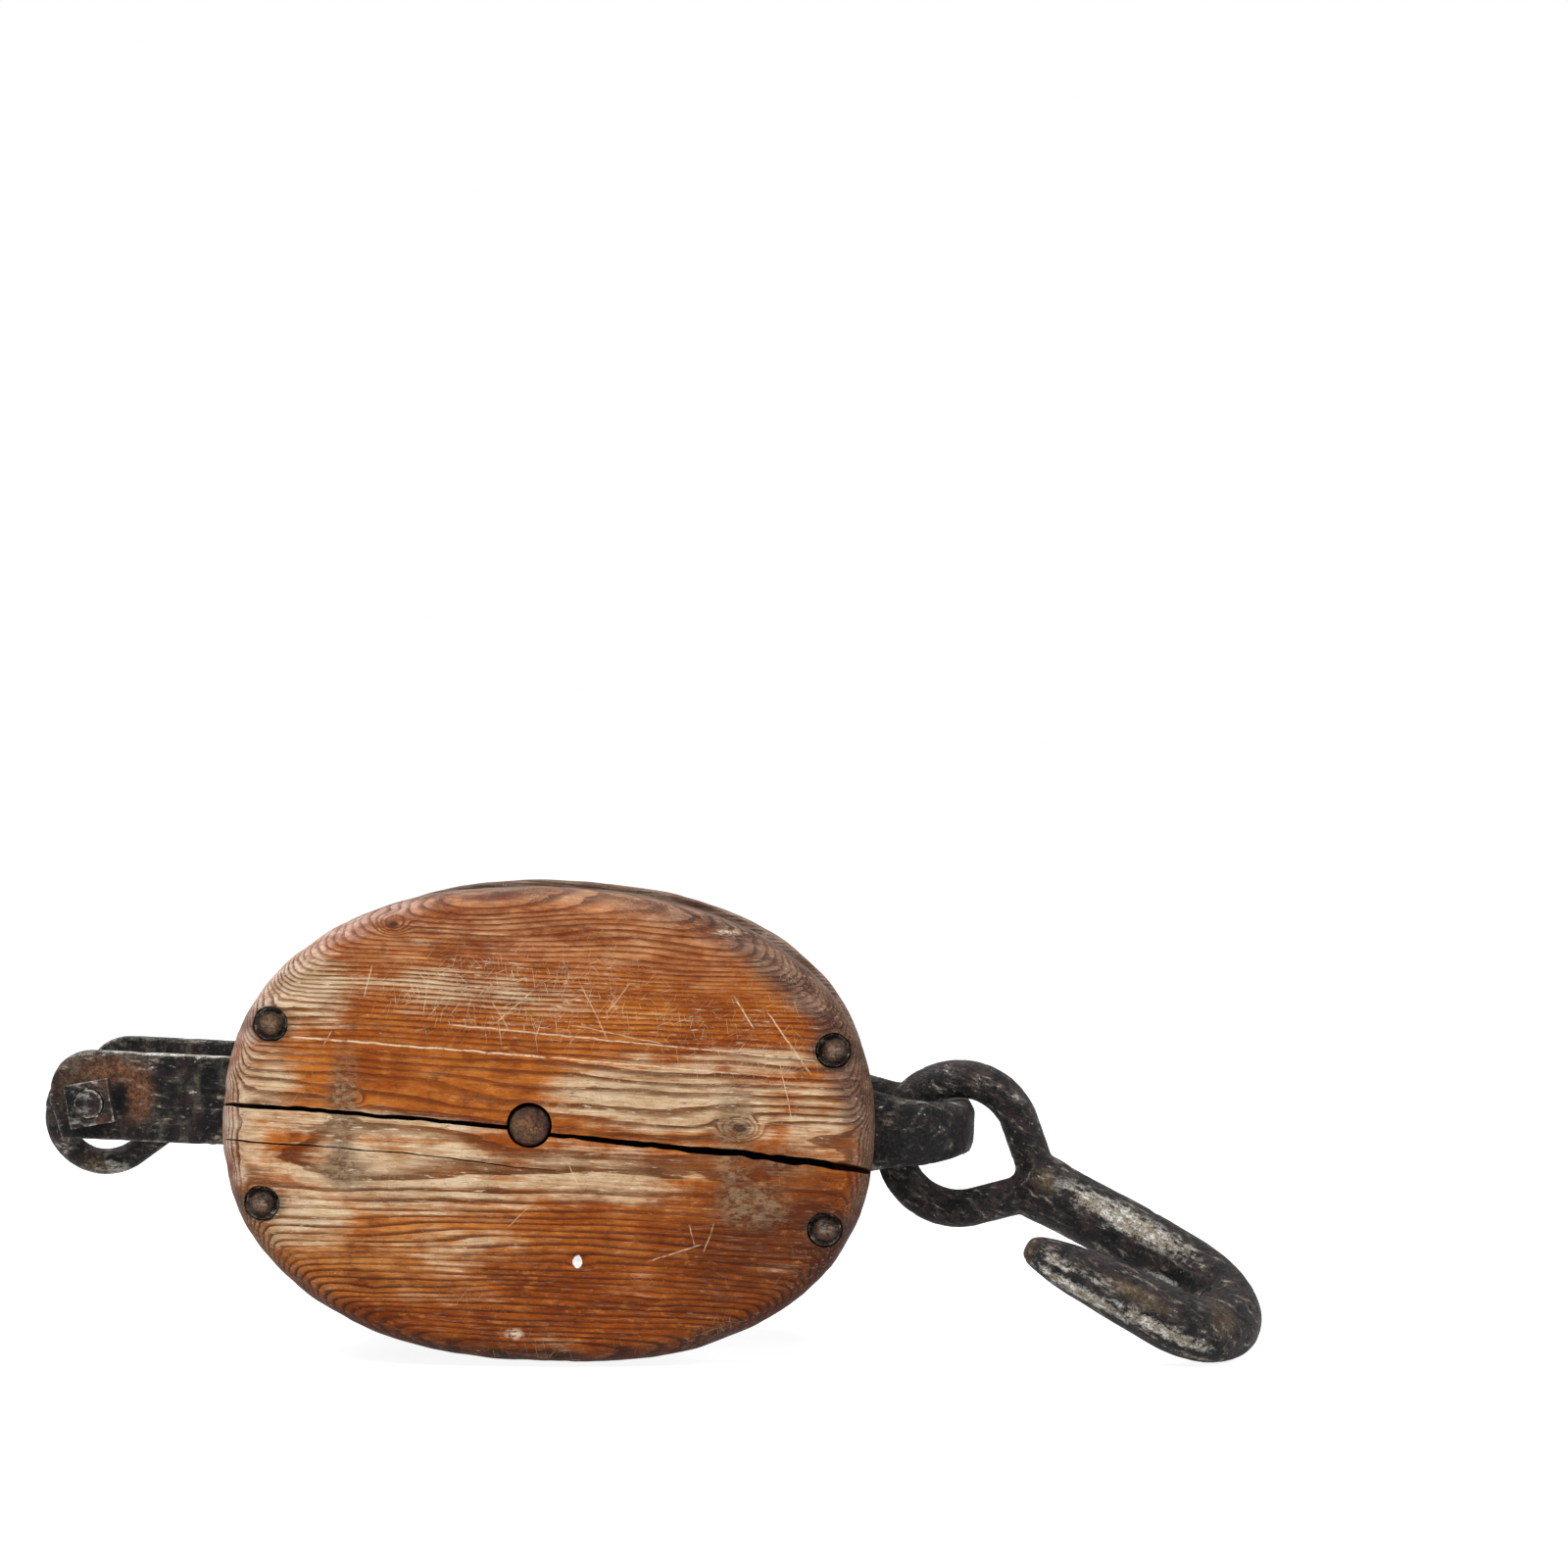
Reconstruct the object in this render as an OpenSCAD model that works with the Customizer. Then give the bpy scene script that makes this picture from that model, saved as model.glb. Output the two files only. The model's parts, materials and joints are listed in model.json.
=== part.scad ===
// Double sheave rigging block: riveted wooden shell, hairpin iron strap,
// two grooved sheaves on one pin, becket bolt and ring, and a hook that
// swings in the strap's crown.  All sizes are in millimetres.
// The block stands on the edge of its shell and on the hook's bow, leaned
// a little, with X along the block, Y along the pin and Z up.

/* [Shell] */

// Length of the oval shell
shell_len = 254; // [240:1:268]
// Height of the oval shell
shell_h = 185; // [180:1:192]
// Squareness of the oval outline, 2 is an ellipse
outline_n = 2.28; // [2.1:0.02:2.5]
// Thickness of each cheek
cheek_t = 30; // [26:1:34]
// Depth of the rounded-over outer edge of a cheek
edge_round = 13; // [10:1:16]
// Thickness of the center partition
partition_t = 16; // [12:1:18]
// Width of the slot for each sheave
slot_w = 34; // [33.5:0.5:36]

/* [Sheaves] */

// Outside diameter of each sheave
sheave_d = 152; // [140:1:153]
// Width of each sheave
sheave_w = 32; // [29:1:32]
// Rope diameter that the groove fits
rope_d = 25; // [18:1:26]
// Gap between a sheave and the spacer where the rope runs
swallow = 28; // [26:1:29]
// Diameter of the sheave pin
pin_d = 15.88; // [15:0.02:15.9]

/* [Strap] */

// Width of the iron strap
strap_w = 35; // [32:1:36]
// Thickness of the strap's legs
strap_t = 8; // [7:0.5:9]
// Width of the strap at the crown
crown_w = 24; // [22:0.5:24]
// Distance from the shell center to the becket bolt
becket_reach = 178.5; // [174:0.5:182]

/* [Becket] */

// Outside radius of the becket ring's round end
ring_r = 24.9; // [24.9:0.1:26]
// Thickness of the becket ring's bar
ring_bar = 10.6; // [8:0.2:10.6]
// Distance of the becket bolt below the strap's middle line
bolt_drop = 2.7; // [2.5:0.1:3]
// Diameter of the becket bolt
bolt_d = 11.5; // [10:0.5:11.5]

/* [Hook] */

// Radius of the hole in the hook's eye
eye_hole_r = 18; // [18:0.1:19]
// Thickness of the bar round the eye
eye_bar = 15.5; // [14:0.5:16]
// Thickness of the hook's shank
shank_d = 26; // [24:1:28]
// Angle that the shank droops below level
droop = 28.2; // [27:0.1:31]
// Turn of the bow about the shank
twist = 68; // [55:1:75]

/* [Hidden] */

$fn = 96;
e = 0.01;

wood_c = [0.62, 0.36, 0.16];
dark_wood_c = [0.40, 0.22, 0.12];
iron_c = [0.20, 0.19, 0.19];
bronze_c = [0.62, 0.45, 0.22];
sheave_c = [0.28, 0.17, 0.10];

half_len = shell_len / 2;
half_h = shell_h / 2;
face_in = partition_t / 2 + slot_w;
face_out = face_in + cheek_t;

// the pin sits off the middle, towards the becket, to make room for the rope
pin_x = -7;
pin_r = pin_d / 2;
sheave_r = sheave_d / 2;
becket_wall = pin_x - sheave_r - 5;
hook_wall = pin_x + sheave_r + swallow;

rivet_x = 108.5;
rivet_z = 34.5;
rivet_r = 3.5;
sink_r = 7;
sink_deep = 5.5;

// the strap's middle line runs a little above the pin
strap_rise = 2.4;
leg_y = face_in + strap_t / 2;
bolt_rise = strap_rise - bolt_drop;
tail_r = strap_w / 2;
tail_len = 17.3;
crown_t = 11.5;
crown_x = 160.75;
bend_r = 24.25;
neck_x = 112;

bolt_r = bolt_d / 2;
nut_w = 17.5;
nut_t = 10.5;

eye_drop = -3.3;
eye_y = -16;
eye_r = eye_hole_r + eye_bar / 2;

// how the block stands: lowest edge of the leaned oval on the ground
lean = 2.7;
dual_n = outline_n / (outline_n - 1);
stand_z = pow(pow(half_len * sin(lean), dual_n) + pow(half_h * cos(lean), dual_n), 1 / dual_n);
middle_x = 36.5;

function spow(c, k) = sign(c) * pow(abs(c), k);

function oval(a, b) =
    [for (i = [0:119]) [a * spow(cos(3 * i), 2 / outline_n), b * spow(sin(3 * i), 2 / outline_n)]];

// rounded rectangle of half sizes a and b with corner radius r
function rounded(a, b, r) =
    [for (q = [0:3]) for (k = [0:6])
        let (t = 90 * q + 15 * k,
             sx = (q == 0 || q == 3) ? 1 : -1,
             sy = q < 2 ? 1 : -1)
        [sx * (a - r) + r * cos(t), sy * (b - r) + r * sin(t)]];

function round_bar(a, b, n = 32) =
    [for (i = [0:n - 1]) [a * cos(360 * i / n), b * sin(360 * i / n)]];

// one cross-section of a bar: middle, two directions across it, outline
function station(c, u, v, outline) = [for (p = outline) c + p[0] * u + p[1] * v];

module skin(rings, closed = false) {
    n = len(rings[0]);
    m = len(rings);
    points = [for (r = rings) for (p = r) p];
    last = closed ? m - 1 : m - 2;
    sides = [for (i = [0:last]) for (j = [0:n - 1])
        for (f = [0, 1])
        let (a = i * n + j, b = i * n + (j + 1) % n,
             c = ((i + 1) % m) * n + (j + 1) % n, d = ((i + 1) % m) * n + j)
        f == 0 ? [a, b, c] : [a, c, d]];
    caps = closed ? [] : [[for (j = [n - 1:-1:0]) j], [for (j = [0:n - 1]) (m - 1) * n + j]];
    polyhedron(points, concat(sides, caps), convexity = 8);
}

// puts the block, drawn about the middle of its shell, on the ground
module stand() {
    translate([-middle_x, 0, stand_z])
        rotate([0, lean, 0])
            children();
}

function stand_at(p) =
    [p[0] * cos(lean) + p[2] * sin(lean) - middle_x, p[1], -p[0] * sin(lean) + p[2] * cos(lean) + stand_z];

module slab(a, b, y0, y1) {
    translate([0, y1, 0])
        rotate([90, 0, 0])
            linear_extrude(y1 - y0)
                polygon(oval(a, b));
}

module through(x, z, r, y0, y1) {
    translate([x, y0, z])
        rotate([-90, 0, 0])
            cylinder(r = r, h = y1 - y0);
}

module at_rivets() {
    for (x = [-rivet_x, rivet_x])
        for (z = [-rivet_z, rivet_z])
            translate([x, 0, z])
                children();
}

// ---- shell ----

// cheek on the +Y side; the front one is its mirror image
round_steps = 7;
cheek_rows = concat(
    [[1.5, face_in], [0.4, face_in + 0.6], [0, face_in + 1.6]],
    [for (i = [0:round_steps])
        let (t = 90 * i / round_steps)
        [edge_round * (1 - cos(t)) * 0.85, face_out - edge_round * (1 - sin(t))]]);

module cheek_body() {
    skin([for (q = cheek_rows)
        station([0, q[1], 0], [1, 0, 0], [0, 0, 1], oval(half_len - q[0], half_h - q[0]))]);
}

module cheek() {
    difference() {
        cheek_body();
        translate([-half_len - 5, face_in - 5, strap_rise - strap_w / 2 - 0.3])
            cube([shell_len + 10, strap_t + 5.1, strap_w + 0.6]);
        through(pin_x, 0, pin_r + 0.7, face_in - 5, face_out + 5);
        at_rivets()
            through(0, 0, rivet_r + 0.1, face_in - 5, face_out + 5);
        at_rivets()
            through(0, 0, sink_r, face_out - sink_deep, face_out + 5);
    }
}

module rear_cheek() {
    color(wood_c)
        stand()
            cheek();
}

module front_cheek() {
    color(wood_c)
        stand()
            mirror([0, 1, 0])
                cheek();
}

module center_partition() {
    color(dark_wood_c)
        stand()
            difference() {
                slab(half_len - 3, half_h - 2, -partition_t / 2, partition_t / 2);
                through(pin_x, 0, pin_r + 0.7, -partition_t, partition_t);
                at_rivets()
                    through(0, 0, rivet_r + 0.1, -partition_t, partition_t);
            }
}

// spacer on the +Y side, kept beyond the wall x on the becket or hook end
module spacer(wall, side) {
    y0 = partition_t / 2;
    difference() {
        intersection() {
            slab(half_len - 3, half_h - 2, y0, face_in);
            translate([side > 0 ? wall : wall - 100, y0 - 5, -half_h])
                cube([100, slot_w + 10, shell_h]);
        }
        at_rivets()
            through(0, 0, rivet_r + 0.1, y0 - 5, face_in + 5);
    }
}

module rear_becket_spacer() {
    color(dark_wood_c)
        stand()
            spacer(becket_wall, -1);
}

module front_becket_spacer() {
    color(dark_wood_c)
        stand()
            mirror([0, 1, 0])
                spacer(becket_wall, -1);
}

module rear_hook_spacer() {
    color(dark_wood_c)
        stand()
            spacer(hook_wall, 1);
}

module front_hook_spacer() {
    color(dark_wood_c)
        stand()
            mirror([0, 1, 0])
                spacer(hook_wall, 1);
}

// ---- rivets ----

washer_t = 1.6;
washer_y = face_out - sink_deep;

// low dome, spherical, of base radius r and height h, rising along +Z
module dome(r, h) {
    ball = (r * r + h * h) / (2 * h);
    intersection() {
        translate([0, 0, h - ball])
            sphere(ball);
        cylinder(r = r + 1, h = h + 1);
    }
}

module shell_rivets() {
    grip = washer_y + washer_t;
    color(iron_c)
        stand()
            at_rivets() {
                through(0, 0, rivet_r, -grip - e, grip + e);
                translate([0, grip, 0])
                    rotate([-90, 0, 0])
                        dome(5.2, 2.8);
                translate([0, -grip, 0])
                    rotate([90, 0, 0])
                        dome(5.2, 2.8);
            }
}

module washers() {
    at_rivets()
        difference() {
            through(0, 0, sink_r - 0.6, washer_y, washer_y + washer_t);
            through(0, 0, rivet_r + 0.05, washer_y - 1, washer_y + 5);
        }
}

module rear_rivet_washers() {
    color(iron_c)
        stand()
            washers();
}

module front_rivet_washers() {
    color(iron_c)
        stand()
            mirror([0, 1, 0])
                washers();
}

// ---- strap ----

// blend from 0 to 1 as x runs from a to b
function ease(x, a, b) =
    let (t = min(1, max(0, (x - a) / (b - a))))
    t * t * (3 - 2 * t);

function leg_half_w(x) = tail_r + (crown_w / 2 - tail_r) * ease(x, neck_x, 150);

// share of the half width that is left above and below the middle line at a
// share u of the tail's length: a round upper corner and a cut-off lower one
function tail_up(u) = pow(1 - pow(u, 2.2), 1 / 2.2);

function tail_down(u) = min(1, 0.12 + (1 - u) / 0.36);

function leg_half_t(x) = strap_t / 2 + (crown_t - strap_t) / 2 * ease(x, half_len, 150);

function leg_corner(x) = 1.6 + 3.4 * ease(x, neck_x, 148);

tail_shares = [0.985, 0.93, 0.84, 0.76, 0.68, 0.52, 0.28];
leg_xs = [-becket_reach, -120, -60, 0, 60, neck_x, 116, 120, 124, 128, 132];
bend_x = crown_x - bend_r;

// half of the strap, from a tail to the middle of the crown, on side s
function strap_half(s) = concat(
    [for (u = tail_shares)
        let (up = tail_r * tail_up(u),
             down = tail_r * tail_down(u))
        station([-becket_reach - u * tail_len, s * leg_y, strap_rise + (up - down) / 2],
                [0, s, 0], [0, 0, 1], rounded(strap_t / 2, (up + down) / 2, 1.6))],
    [for (x = leg_xs)
        station([x, s * leg_y, strap_rise], [0, s, 0], [0, 0, 1],
                rounded(leg_half_t(x), leg_half_w(x), leg_corner(x)))],
    [for (k = [0:10])
        let (t = 9 * k,
             x = bend_x + bend_r * sin(t),
             w = bend_x + 18 * k / 10,
             n = [sin(t), s * cos(t), 0])
        station([x, s * (leg_y - bend_r * (1 - cos(t))), strap_rise], n, [0, 0, 1],
                rounded(leg_half_t(w), leg_half_w(w), leg_corner(w)))]);

function backwards(v) = [for (i = [len(v) - 1:-1:0]) v[i]];

module strap() {
    color(iron_c)
        stand()
            difference() {
                skin(concat(strap_half(-1), backwards(strap_half(1))));
                through(pin_x, 0, pin_r + 0.06, -face_out, face_out);
                through(-becket_reach, bolt_rise, bolt_r + 0.1, -face_out, face_out);
            }
}

// ---- pin, sheaves and bushings ----

pin_end = face_out - 1;
bush_r = 19;
hub_t = sheave_w / 2 + 0.7;
slot_mid = partition_t / 2 + slot_w / 2;

module sheave_pin() {
    color(iron_c)
        stand()
            rotate([90, 0, 0])
                translate([pin_x, 0, -pin_end])
                    rotate_extrude()
                        polygon([[0, 0], [pin_r - 1.2, 0], [pin_r, 1.2],
                                 [pin_r, 2 * pin_end - 1.2], [pin_r - 1.2, 2 * pin_end],
                                 [0, 2 * pin_end]]);
}

// sheave in the slot on side s, turned about its axis along Y
module sheave(s) {
    groove_r = rope_d / 2 + 0.5;
    web = sheave_w / 2 - 2.5;
    translate([pin_x, s * slot_mid, 0])
        rotate([90, 0, 0])
            rotate_extrude()
                difference() {
                    polygon([[bush_r, -sheave_w / 2], [32, -sheave_w / 2], [35, -web],
                             [52, -web], [55, -sheave_w / 2], [sheave_r - 1.5, -sheave_w / 2],
                             [sheave_r, -sheave_w / 2 + 1.5], [sheave_r, sheave_w / 2 - 1.5],
                             [sheave_r - 1.5, sheave_w / 2], [55, sheave_w / 2], [52, web],
                             [35, web], [32, sheave_w / 2], [bush_r, sheave_w / 2]]);
                    translate([sheave_r + 2.5, 0])
                        circle(groove_r);
                }
}

module bushing(s) {
    translate([pin_x, s * slot_mid, 0])
        rotate([90, 0, 0])
            rotate_extrude()
                translate([pin_r + 0.06, -hub_t])
                    square([bush_r - pin_r - 0.06, 2 * hub_t]);
}

module front_sheave() {
    color(sheave_c)
        stand()
            sheave(-1);
}

module rear_sheave() {
    color(sheave_c)
        stand()
            sheave(1);
}

module front_bushing() {
    color(bronze_c)
        stand()
            bushing(-1);
}

module rear_bushing() {
    color(bronze_c)
        stand()
            bushing(1);
}

// ---- becket ----

strap_face = face_in + strap_t;

// bolt with its square head at the back; the nut is on the front strap
module becket_bolt() {
    color(iron_c)
        stand()
            translate([-becket_reach, 0, bolt_rise]) {
                through(0, 0, bolt_r, -strap_face - nut_t - 1.2, strap_face + e);
                translate([0, strap_face, 0])
                    rotate([-90, 14, 0])
                        linear_extrude(8)
                            square(nut_w, center = true);
            }
}

module becket_nut() {
    color(iron_c)
        stand()
            translate([-becket_reach, 0, bolt_rise])
                difference() {
                    intersection() {
                        translate([0, -strap_face, 0])
                            rotate([90, -13, 0])
                                linear_extrude(nut_t)
                                    square(nut_w, center = true);
                        translate([0, -strap_face - nut_t, 0])
                            rotate([-90, 0, 0])
                                cylinder(r1 = nut_w * 0.62, r2 = nut_w * 0.62 + nut_t * 1.6, h = nut_t);
                    }
                    through(0, 0, bolt_r + 0.05, -face_out, 0);
                }
}

// middle line of a pear-shaped ring: [point, outward direction] pairs
function pear(big, small, reach) =
    let (b = acos((big - small) / reach))
    concat(
        [for (k = [0:10]) let (t = -b + 2 * b * k / 10)
            [[reach + small * cos(t), small * sin(t)], [cos(t), sin(t)]]],
        [for (k = [0:40]) let (t = b + (360 - 2 * b) * k / 40)
            [[big * cos(t), big * sin(t)], [cos(t), sin(t)]]]);

// pear ring about a point, its long axis along u and its width along v
module pear_ring(at, u, v, big, small, reach, bar_a, bar_b) {
    w = cross(u, v);
    skin([for (q = pear(big, small, reach))
        station(at + q[0][0] * u + q[0][1] * v, q[1][0] * u + q[1][1] * v, w,
                round_bar(bar_a, bar_b, 24))], closed = true);
}

ring_tilt = 9;
ring_at = stand_at([-becket_reach, 0, bolt_rise]) + [-2.5, 0, -8.0];

module becket_ring() {
    color(iron_c)
        pear_ring(ring_at, [cos(ring_tilt), 0, sin(ring_tilt)], [-sin(ring_tilt), 0, cos(ring_tilt)],
                  ring_r - ring_bar / 2, 7.5, 26, ring_bar / 2, ring_bar / 2 + 0.4);
}

// ---- hook ----

eye_at = stand_at([crown_x, eye_y, eye_drop]);
along = [cos(droop), 0, -sin(droop)];
below = [-sin(droop), 0, -cos(droop)];
out = cos(twist) * below + sin(twist) * [0, -1, 0];
flat = cross(along, out);

shank_r = shank_d / 2;
bow_r = 25;
bow_u = 98.5;
bow_in = 14;
bow_wide = 12.2;

// stations down the shank: distance along, half width out, half width across
shank_rows = [[31, 9.5, 13.5], [35, 10.5, 14], [40, 11.8, 13.8], [47, 12.6, 13.2],
              [56, shank_r, shank_r], [66, shank_r + 0.4, shank_r], [76, shank_r + 0.9, shank_r],
              [87, shank_r + 1, shank_r - 0.4]];
// stations up the point: distance along, distance out, half widths
point_rows = [[88, 50.2, 13.2, 11.6], [78, 50.6, 12.4, 11], [68, 51, 11.4, 10.3],
              [59, 51.5, 10.3, 9.5], [51, 52, 9, 8.4], [45, 52.5, 7.5, 7.1],
              [41, 52.8, 6, 5.8], [38.5, 53, 4, 4], [37.6, 53, 1.8, 1.8]];

function hook_body() = concat(
    [for (q = shank_rows)
        station(eye_at + q[0] * along, -out, flat, round_bar(q[1], q[2]))],
    [for (k = [0:14])
        let (t = -90 + 180 * k / 14,
             radial = cos(t) * along + sin(t) * out,
             swell = cos(t))
        station(eye_at + bow_u * along + bow_r * out + bow_r * radial, radial, flat,
                round_bar(13.6 + (bow_in - 13.6) * swell, 12 + (bow_wide - 12) * swell))],
    [for (q = point_rows)
        station(eye_at + q[0] * along + q[1] * out, out, flat, round_bar(q[2], q[3]))]);

module hook() {
    color(iron_c)
        union() {
            pear_ring(eye_at, along, -below, eye_r, 11.25, 21.4, eye_bar / 2, eye_bar / 2);
            skin(hook_body());
        }
}

front_cheek();
rear_cheek();
center_partition();
front_becket_spacer();
rear_becket_spacer();
front_hook_spacer();
rear_hook_spacer();
shell_rivets();
front_rivet_washers();
rear_rivet_washers();
strap();
sheave_pin();
front_sheave();
rear_sheave();
front_bushing();
rear_bushing();
becket_bolt();
becket_nut();
becket_ring();
hook();
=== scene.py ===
"""The looks of a wooden double sheave block with its iron strap, hook and becket ring.

Shapes are given in millimetres, in one of two frames. The row frame is the CAD model's. The block's own
frame has the shell level, with its middle at the origin: x runs from the becket to the hook, y from the
front to the rear, z up. The block leans in the row frame, so to_row and to_block turn one into the other.
"""
import json
import math
import bmesh
import bpy
import numpy as np
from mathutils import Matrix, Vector


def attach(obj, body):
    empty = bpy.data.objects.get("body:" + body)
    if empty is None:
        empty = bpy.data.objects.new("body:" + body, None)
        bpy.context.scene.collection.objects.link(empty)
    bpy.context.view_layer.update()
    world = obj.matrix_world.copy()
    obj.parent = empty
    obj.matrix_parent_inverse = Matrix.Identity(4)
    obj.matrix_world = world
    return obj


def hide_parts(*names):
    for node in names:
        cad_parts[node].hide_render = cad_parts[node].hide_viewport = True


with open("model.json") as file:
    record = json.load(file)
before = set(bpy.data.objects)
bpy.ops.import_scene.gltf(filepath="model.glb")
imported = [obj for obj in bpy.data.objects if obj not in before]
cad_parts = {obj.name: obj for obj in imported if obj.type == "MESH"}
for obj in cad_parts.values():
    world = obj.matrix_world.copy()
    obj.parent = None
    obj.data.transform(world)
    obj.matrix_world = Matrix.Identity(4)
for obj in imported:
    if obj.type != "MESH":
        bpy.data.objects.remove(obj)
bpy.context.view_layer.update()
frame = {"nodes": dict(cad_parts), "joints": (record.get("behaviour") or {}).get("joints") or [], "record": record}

MM = 0.001
# how far the block leans
LEAN = math.radians(2.7)
COS, SIN = math.cos(LEAN), math.sin(LEAN)
UP = np.array([SIN, 0, COS])
# the shell's outline, an oval |x / HALF_LEN|^OVAL_N + |z / HALF_H|^OVAL_N = 1
HALF_LEN, HALF_H, OVAL_N = 127.0, 92.5, 2.28
# a cheek's inner and outer face, from the middle plane, and the radius of its rounded edge
FACE_IN, FACE_OUT, EDGE = 42.0, 72.0, 13.0
# the sheave pin and the four rivets
PIN_X, RIVET_X, RIVET_Z = -7.0, 108.5, 34.5
RIVETS = [(x, z) for x in (-RIVET_X, RIVET_X) for z in (-RIVET_Z, RIVET_Z)]
# the strap's bar: its middle line's height, its legs' distance from the middle plane, its half size
STRAP_RISE, LEG_Y, STRAP_HALF_W, STRAP_HALF_T = 2.4, 46.0, 17.5, 4.0
# the strap's tails: the becket bolt through them, and their length past it
TAIL_X, BOLT_RISE, TAIL_LEN = -178.5, -0.3, 17.3
# the strap's crown: the end of its middle line, and the radius of its two bends
CROWN_X, BEND_R = 160.75, 24.25

joint_at = {j["name"]: np.array(j["pos_m"]) / MM for j in frame["joints"]}
pin_at = joint_at["front_sheave_spin"]
# the middle of the shell in the row frame, from the pin's place in it
MIDDLE = np.array([pin_at[0] - PIN_X * COS, 0.0, pin_at[2] + PIN_X * SIN])
HOOK_AT = joint_at["hook_swing"]
BOLT_AT = joint_at["becket_ring_swing"]


def to_row(p):
    """Block millimetres to the shared frame's millimetres."""
    p = np.asarray(p, float)
    x, y, z = p[..., 0], p[..., 1], p[..., 2]
    return np.stack([x * COS + z * SIN, y, -x * SIN + z * COS], -1) + MIDDLE


def to_block(p):
    """The shared frame's millimetres to block millimetres."""
    q = np.asarray(p, float) - MIDDLE
    x, y, z = q[..., 0], q[..., 1], q[..., 2]
    return np.stack([x * COS - z * SIN, y, x * SIN + z * COS], -1)


def add_object(name, data):
    obj = bpy.data.objects.new(name, data)
    bpy.context.scene.collection.objects.link(obj)
    return obj


# ---- camera
# its place from the shell's middle in millimetres, and its lens for a 36 mm sensor
CAMERA_FROM_MIDDLE = (91.0, -1694.0, 132.0)
CAMERA_LENS = 96.9

cam_data = bpy.data.cameras.new("camera")
cam = add_object("camera", cam_data)
cam_data.lens = CAMERA_LENS
cam_data.sensor_width = 36.0
cam_data.clip_end = 50.0
cam.location = Vector((MIDDLE + CAMERA_FROM_MIDDLE) * MM)
cam.rotation_euler = (math.pi / 2, 0.0, 0.0)
bpy.context.scene.camera = cam

# ---- noise
# a shuffled table for hashing, and the values it picks from
rng = np.random.RandomState(11)
PERM = rng.permutation(256)
VALUES = rng.rand(256) * 2 - 1


def noise(p, size, seed=0):
    """Smooth value noise of about -1..1 with features of that size (mm, one number or three)."""
    q = np.asarray(p, float) / np.asarray(size, float) + seed * 13.37
    i = np.floor(q).astype(int)
    f = q - i
    f = f * f * (3 - 2 * f)
    total = 0.0
    for dx in (0, 1):
        for dy in (0, 1):
            for dz in (0, 1):
                h = PERM[(i[:, 0] + dx) & 255]
                h = PERM[(h + i[:, 1] + dy) & 255]
                h = PERM[(h + i[:, 2] + dz) & 255]
                w = ((f[:, 0] if dx else 1 - f[:, 0]) * (f[:, 1] if dy else 1 - f[:, 1])
                     * (f[:, 2] if dz else 1 - f[:, 2]))
                total = total + VALUES[h] * w
    return total


def fbm(p, size, octaves, seed):
    """Noise with finer and fainter octaves added, still about -1..1."""
    size = np.asarray(size, float)
    return sum(noise(p, size / 2**k, seed + k) / 2**k for k in range(octaves)) / 1.6


def smooth(x, a, b):
    """0 to 1 as x runs from a to b, with a soft start and end."""
    t = np.clip((x - a) / (b - a), 0, 1)
    return t * t * (3 - 2 * t)


# ---- meshes
def make_object(name, verts_mm, faces):
    mesh = bpy.data.meshes.new(name)
    mesh.from_pydata([tuple(v) for v in np.asarray(verts_mm) * MM], [], faces)
    mesh.validate()
    return add_object(name, mesh)


def skin(name, rings, closed=False):
    """A bar from rings of points; capped unless it closes on itself."""
    rings = [np.asarray(r) for r in rings]
    n, m = len(rings[0]), len(rings)
    faces = []
    for i in range(m if closed else m - 1):
        a, b = i * n, ((i + 1) % m) * n
        for j in range(n):
            k = (j + 1) % n
            faces.append((a + j, a + k, b + k, b + j))
    if not closed:
        faces.append(tuple(range(n - 1, -1, -1)))
        faces.append(tuple((m - 1) * n + j for j in range(n)))
    return make_object(name, np.concatenate(rings), faces)


def co_of(mesh):
    """The vertices' places in millimetres."""
    co = np.zeros(len(mesh.vertices) * 3)
    mesh.vertices.foreach_get("co", co)
    return co.reshape(-1, 3) / MM


def set_co(mesh, co):
    mesh.vertices.foreach_set("co", (co * MM).ravel())
    mesh.update()


def normals_of(mesh):
    n = np.zeros(len(mesh.vertices) * 3)
    mesh.vertex_normals.foreach_get("vector", n)
    return n.reshape(-1, 3)


def bake(obj):
    """Applies the modifiers."""
    dg = bpy.context.evaluated_depsgraph_get()
    mesh = bpy.data.meshes.new_from_object(obj.evaluated_get(dg))
    mesh.polygons.foreach_set("material_index", np.zeros(len(mesh.polygons), int))
    old = obj.data
    obj.modifiers.clear()
    obj.data = mesh
    bpy.data.meshes.remove(old)


def outward(obj):
    """Turns the faces so that they look out."""
    bm = bmesh.new()
    bm.from_mesh(obj.data)
    bmesh.ops.recalc_face_normals(bm, faces=bm.faces)
    bm.to_mesh(obj.data)
    bm.free()
    return obj


def cut(obj, cutter):
    """Takes the cutter's shape out of the object, and removes the cutter."""
    outward(cutter)
    mod = obj.modifiers.new("cut", "BOOLEAN")
    mod.operation = "DIFFERENCE"
    mod.solver = "MANIFOLD"
    mod.object = cutter
    bake(obj)
    bpy.data.objects.remove(cutter)


def remesh(obj, voxel):
    """Rebuilds the surface from voxels of that size in mm, and smooths their steps."""
    mod = obj.modifiers.new("remesh", "REMESH")
    mod.mode = "VOXEL"
    mod.voxel_size = voxel * MM
    soft = obj.modifiers.new("soft", "SMOOTH")
    soft.factor = 0.5
    soft.iterations = 3
    bake(obj)


def shade(obj, angle=180.0):
    """Smooth shading, with creases sharper than the angle in degrees left sharp."""
    obj.data.shade_smooth()
    if angle < 180:
        obj.data.set_sharp_from_angle(angle=math.radians(angle))
    return obj


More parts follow.
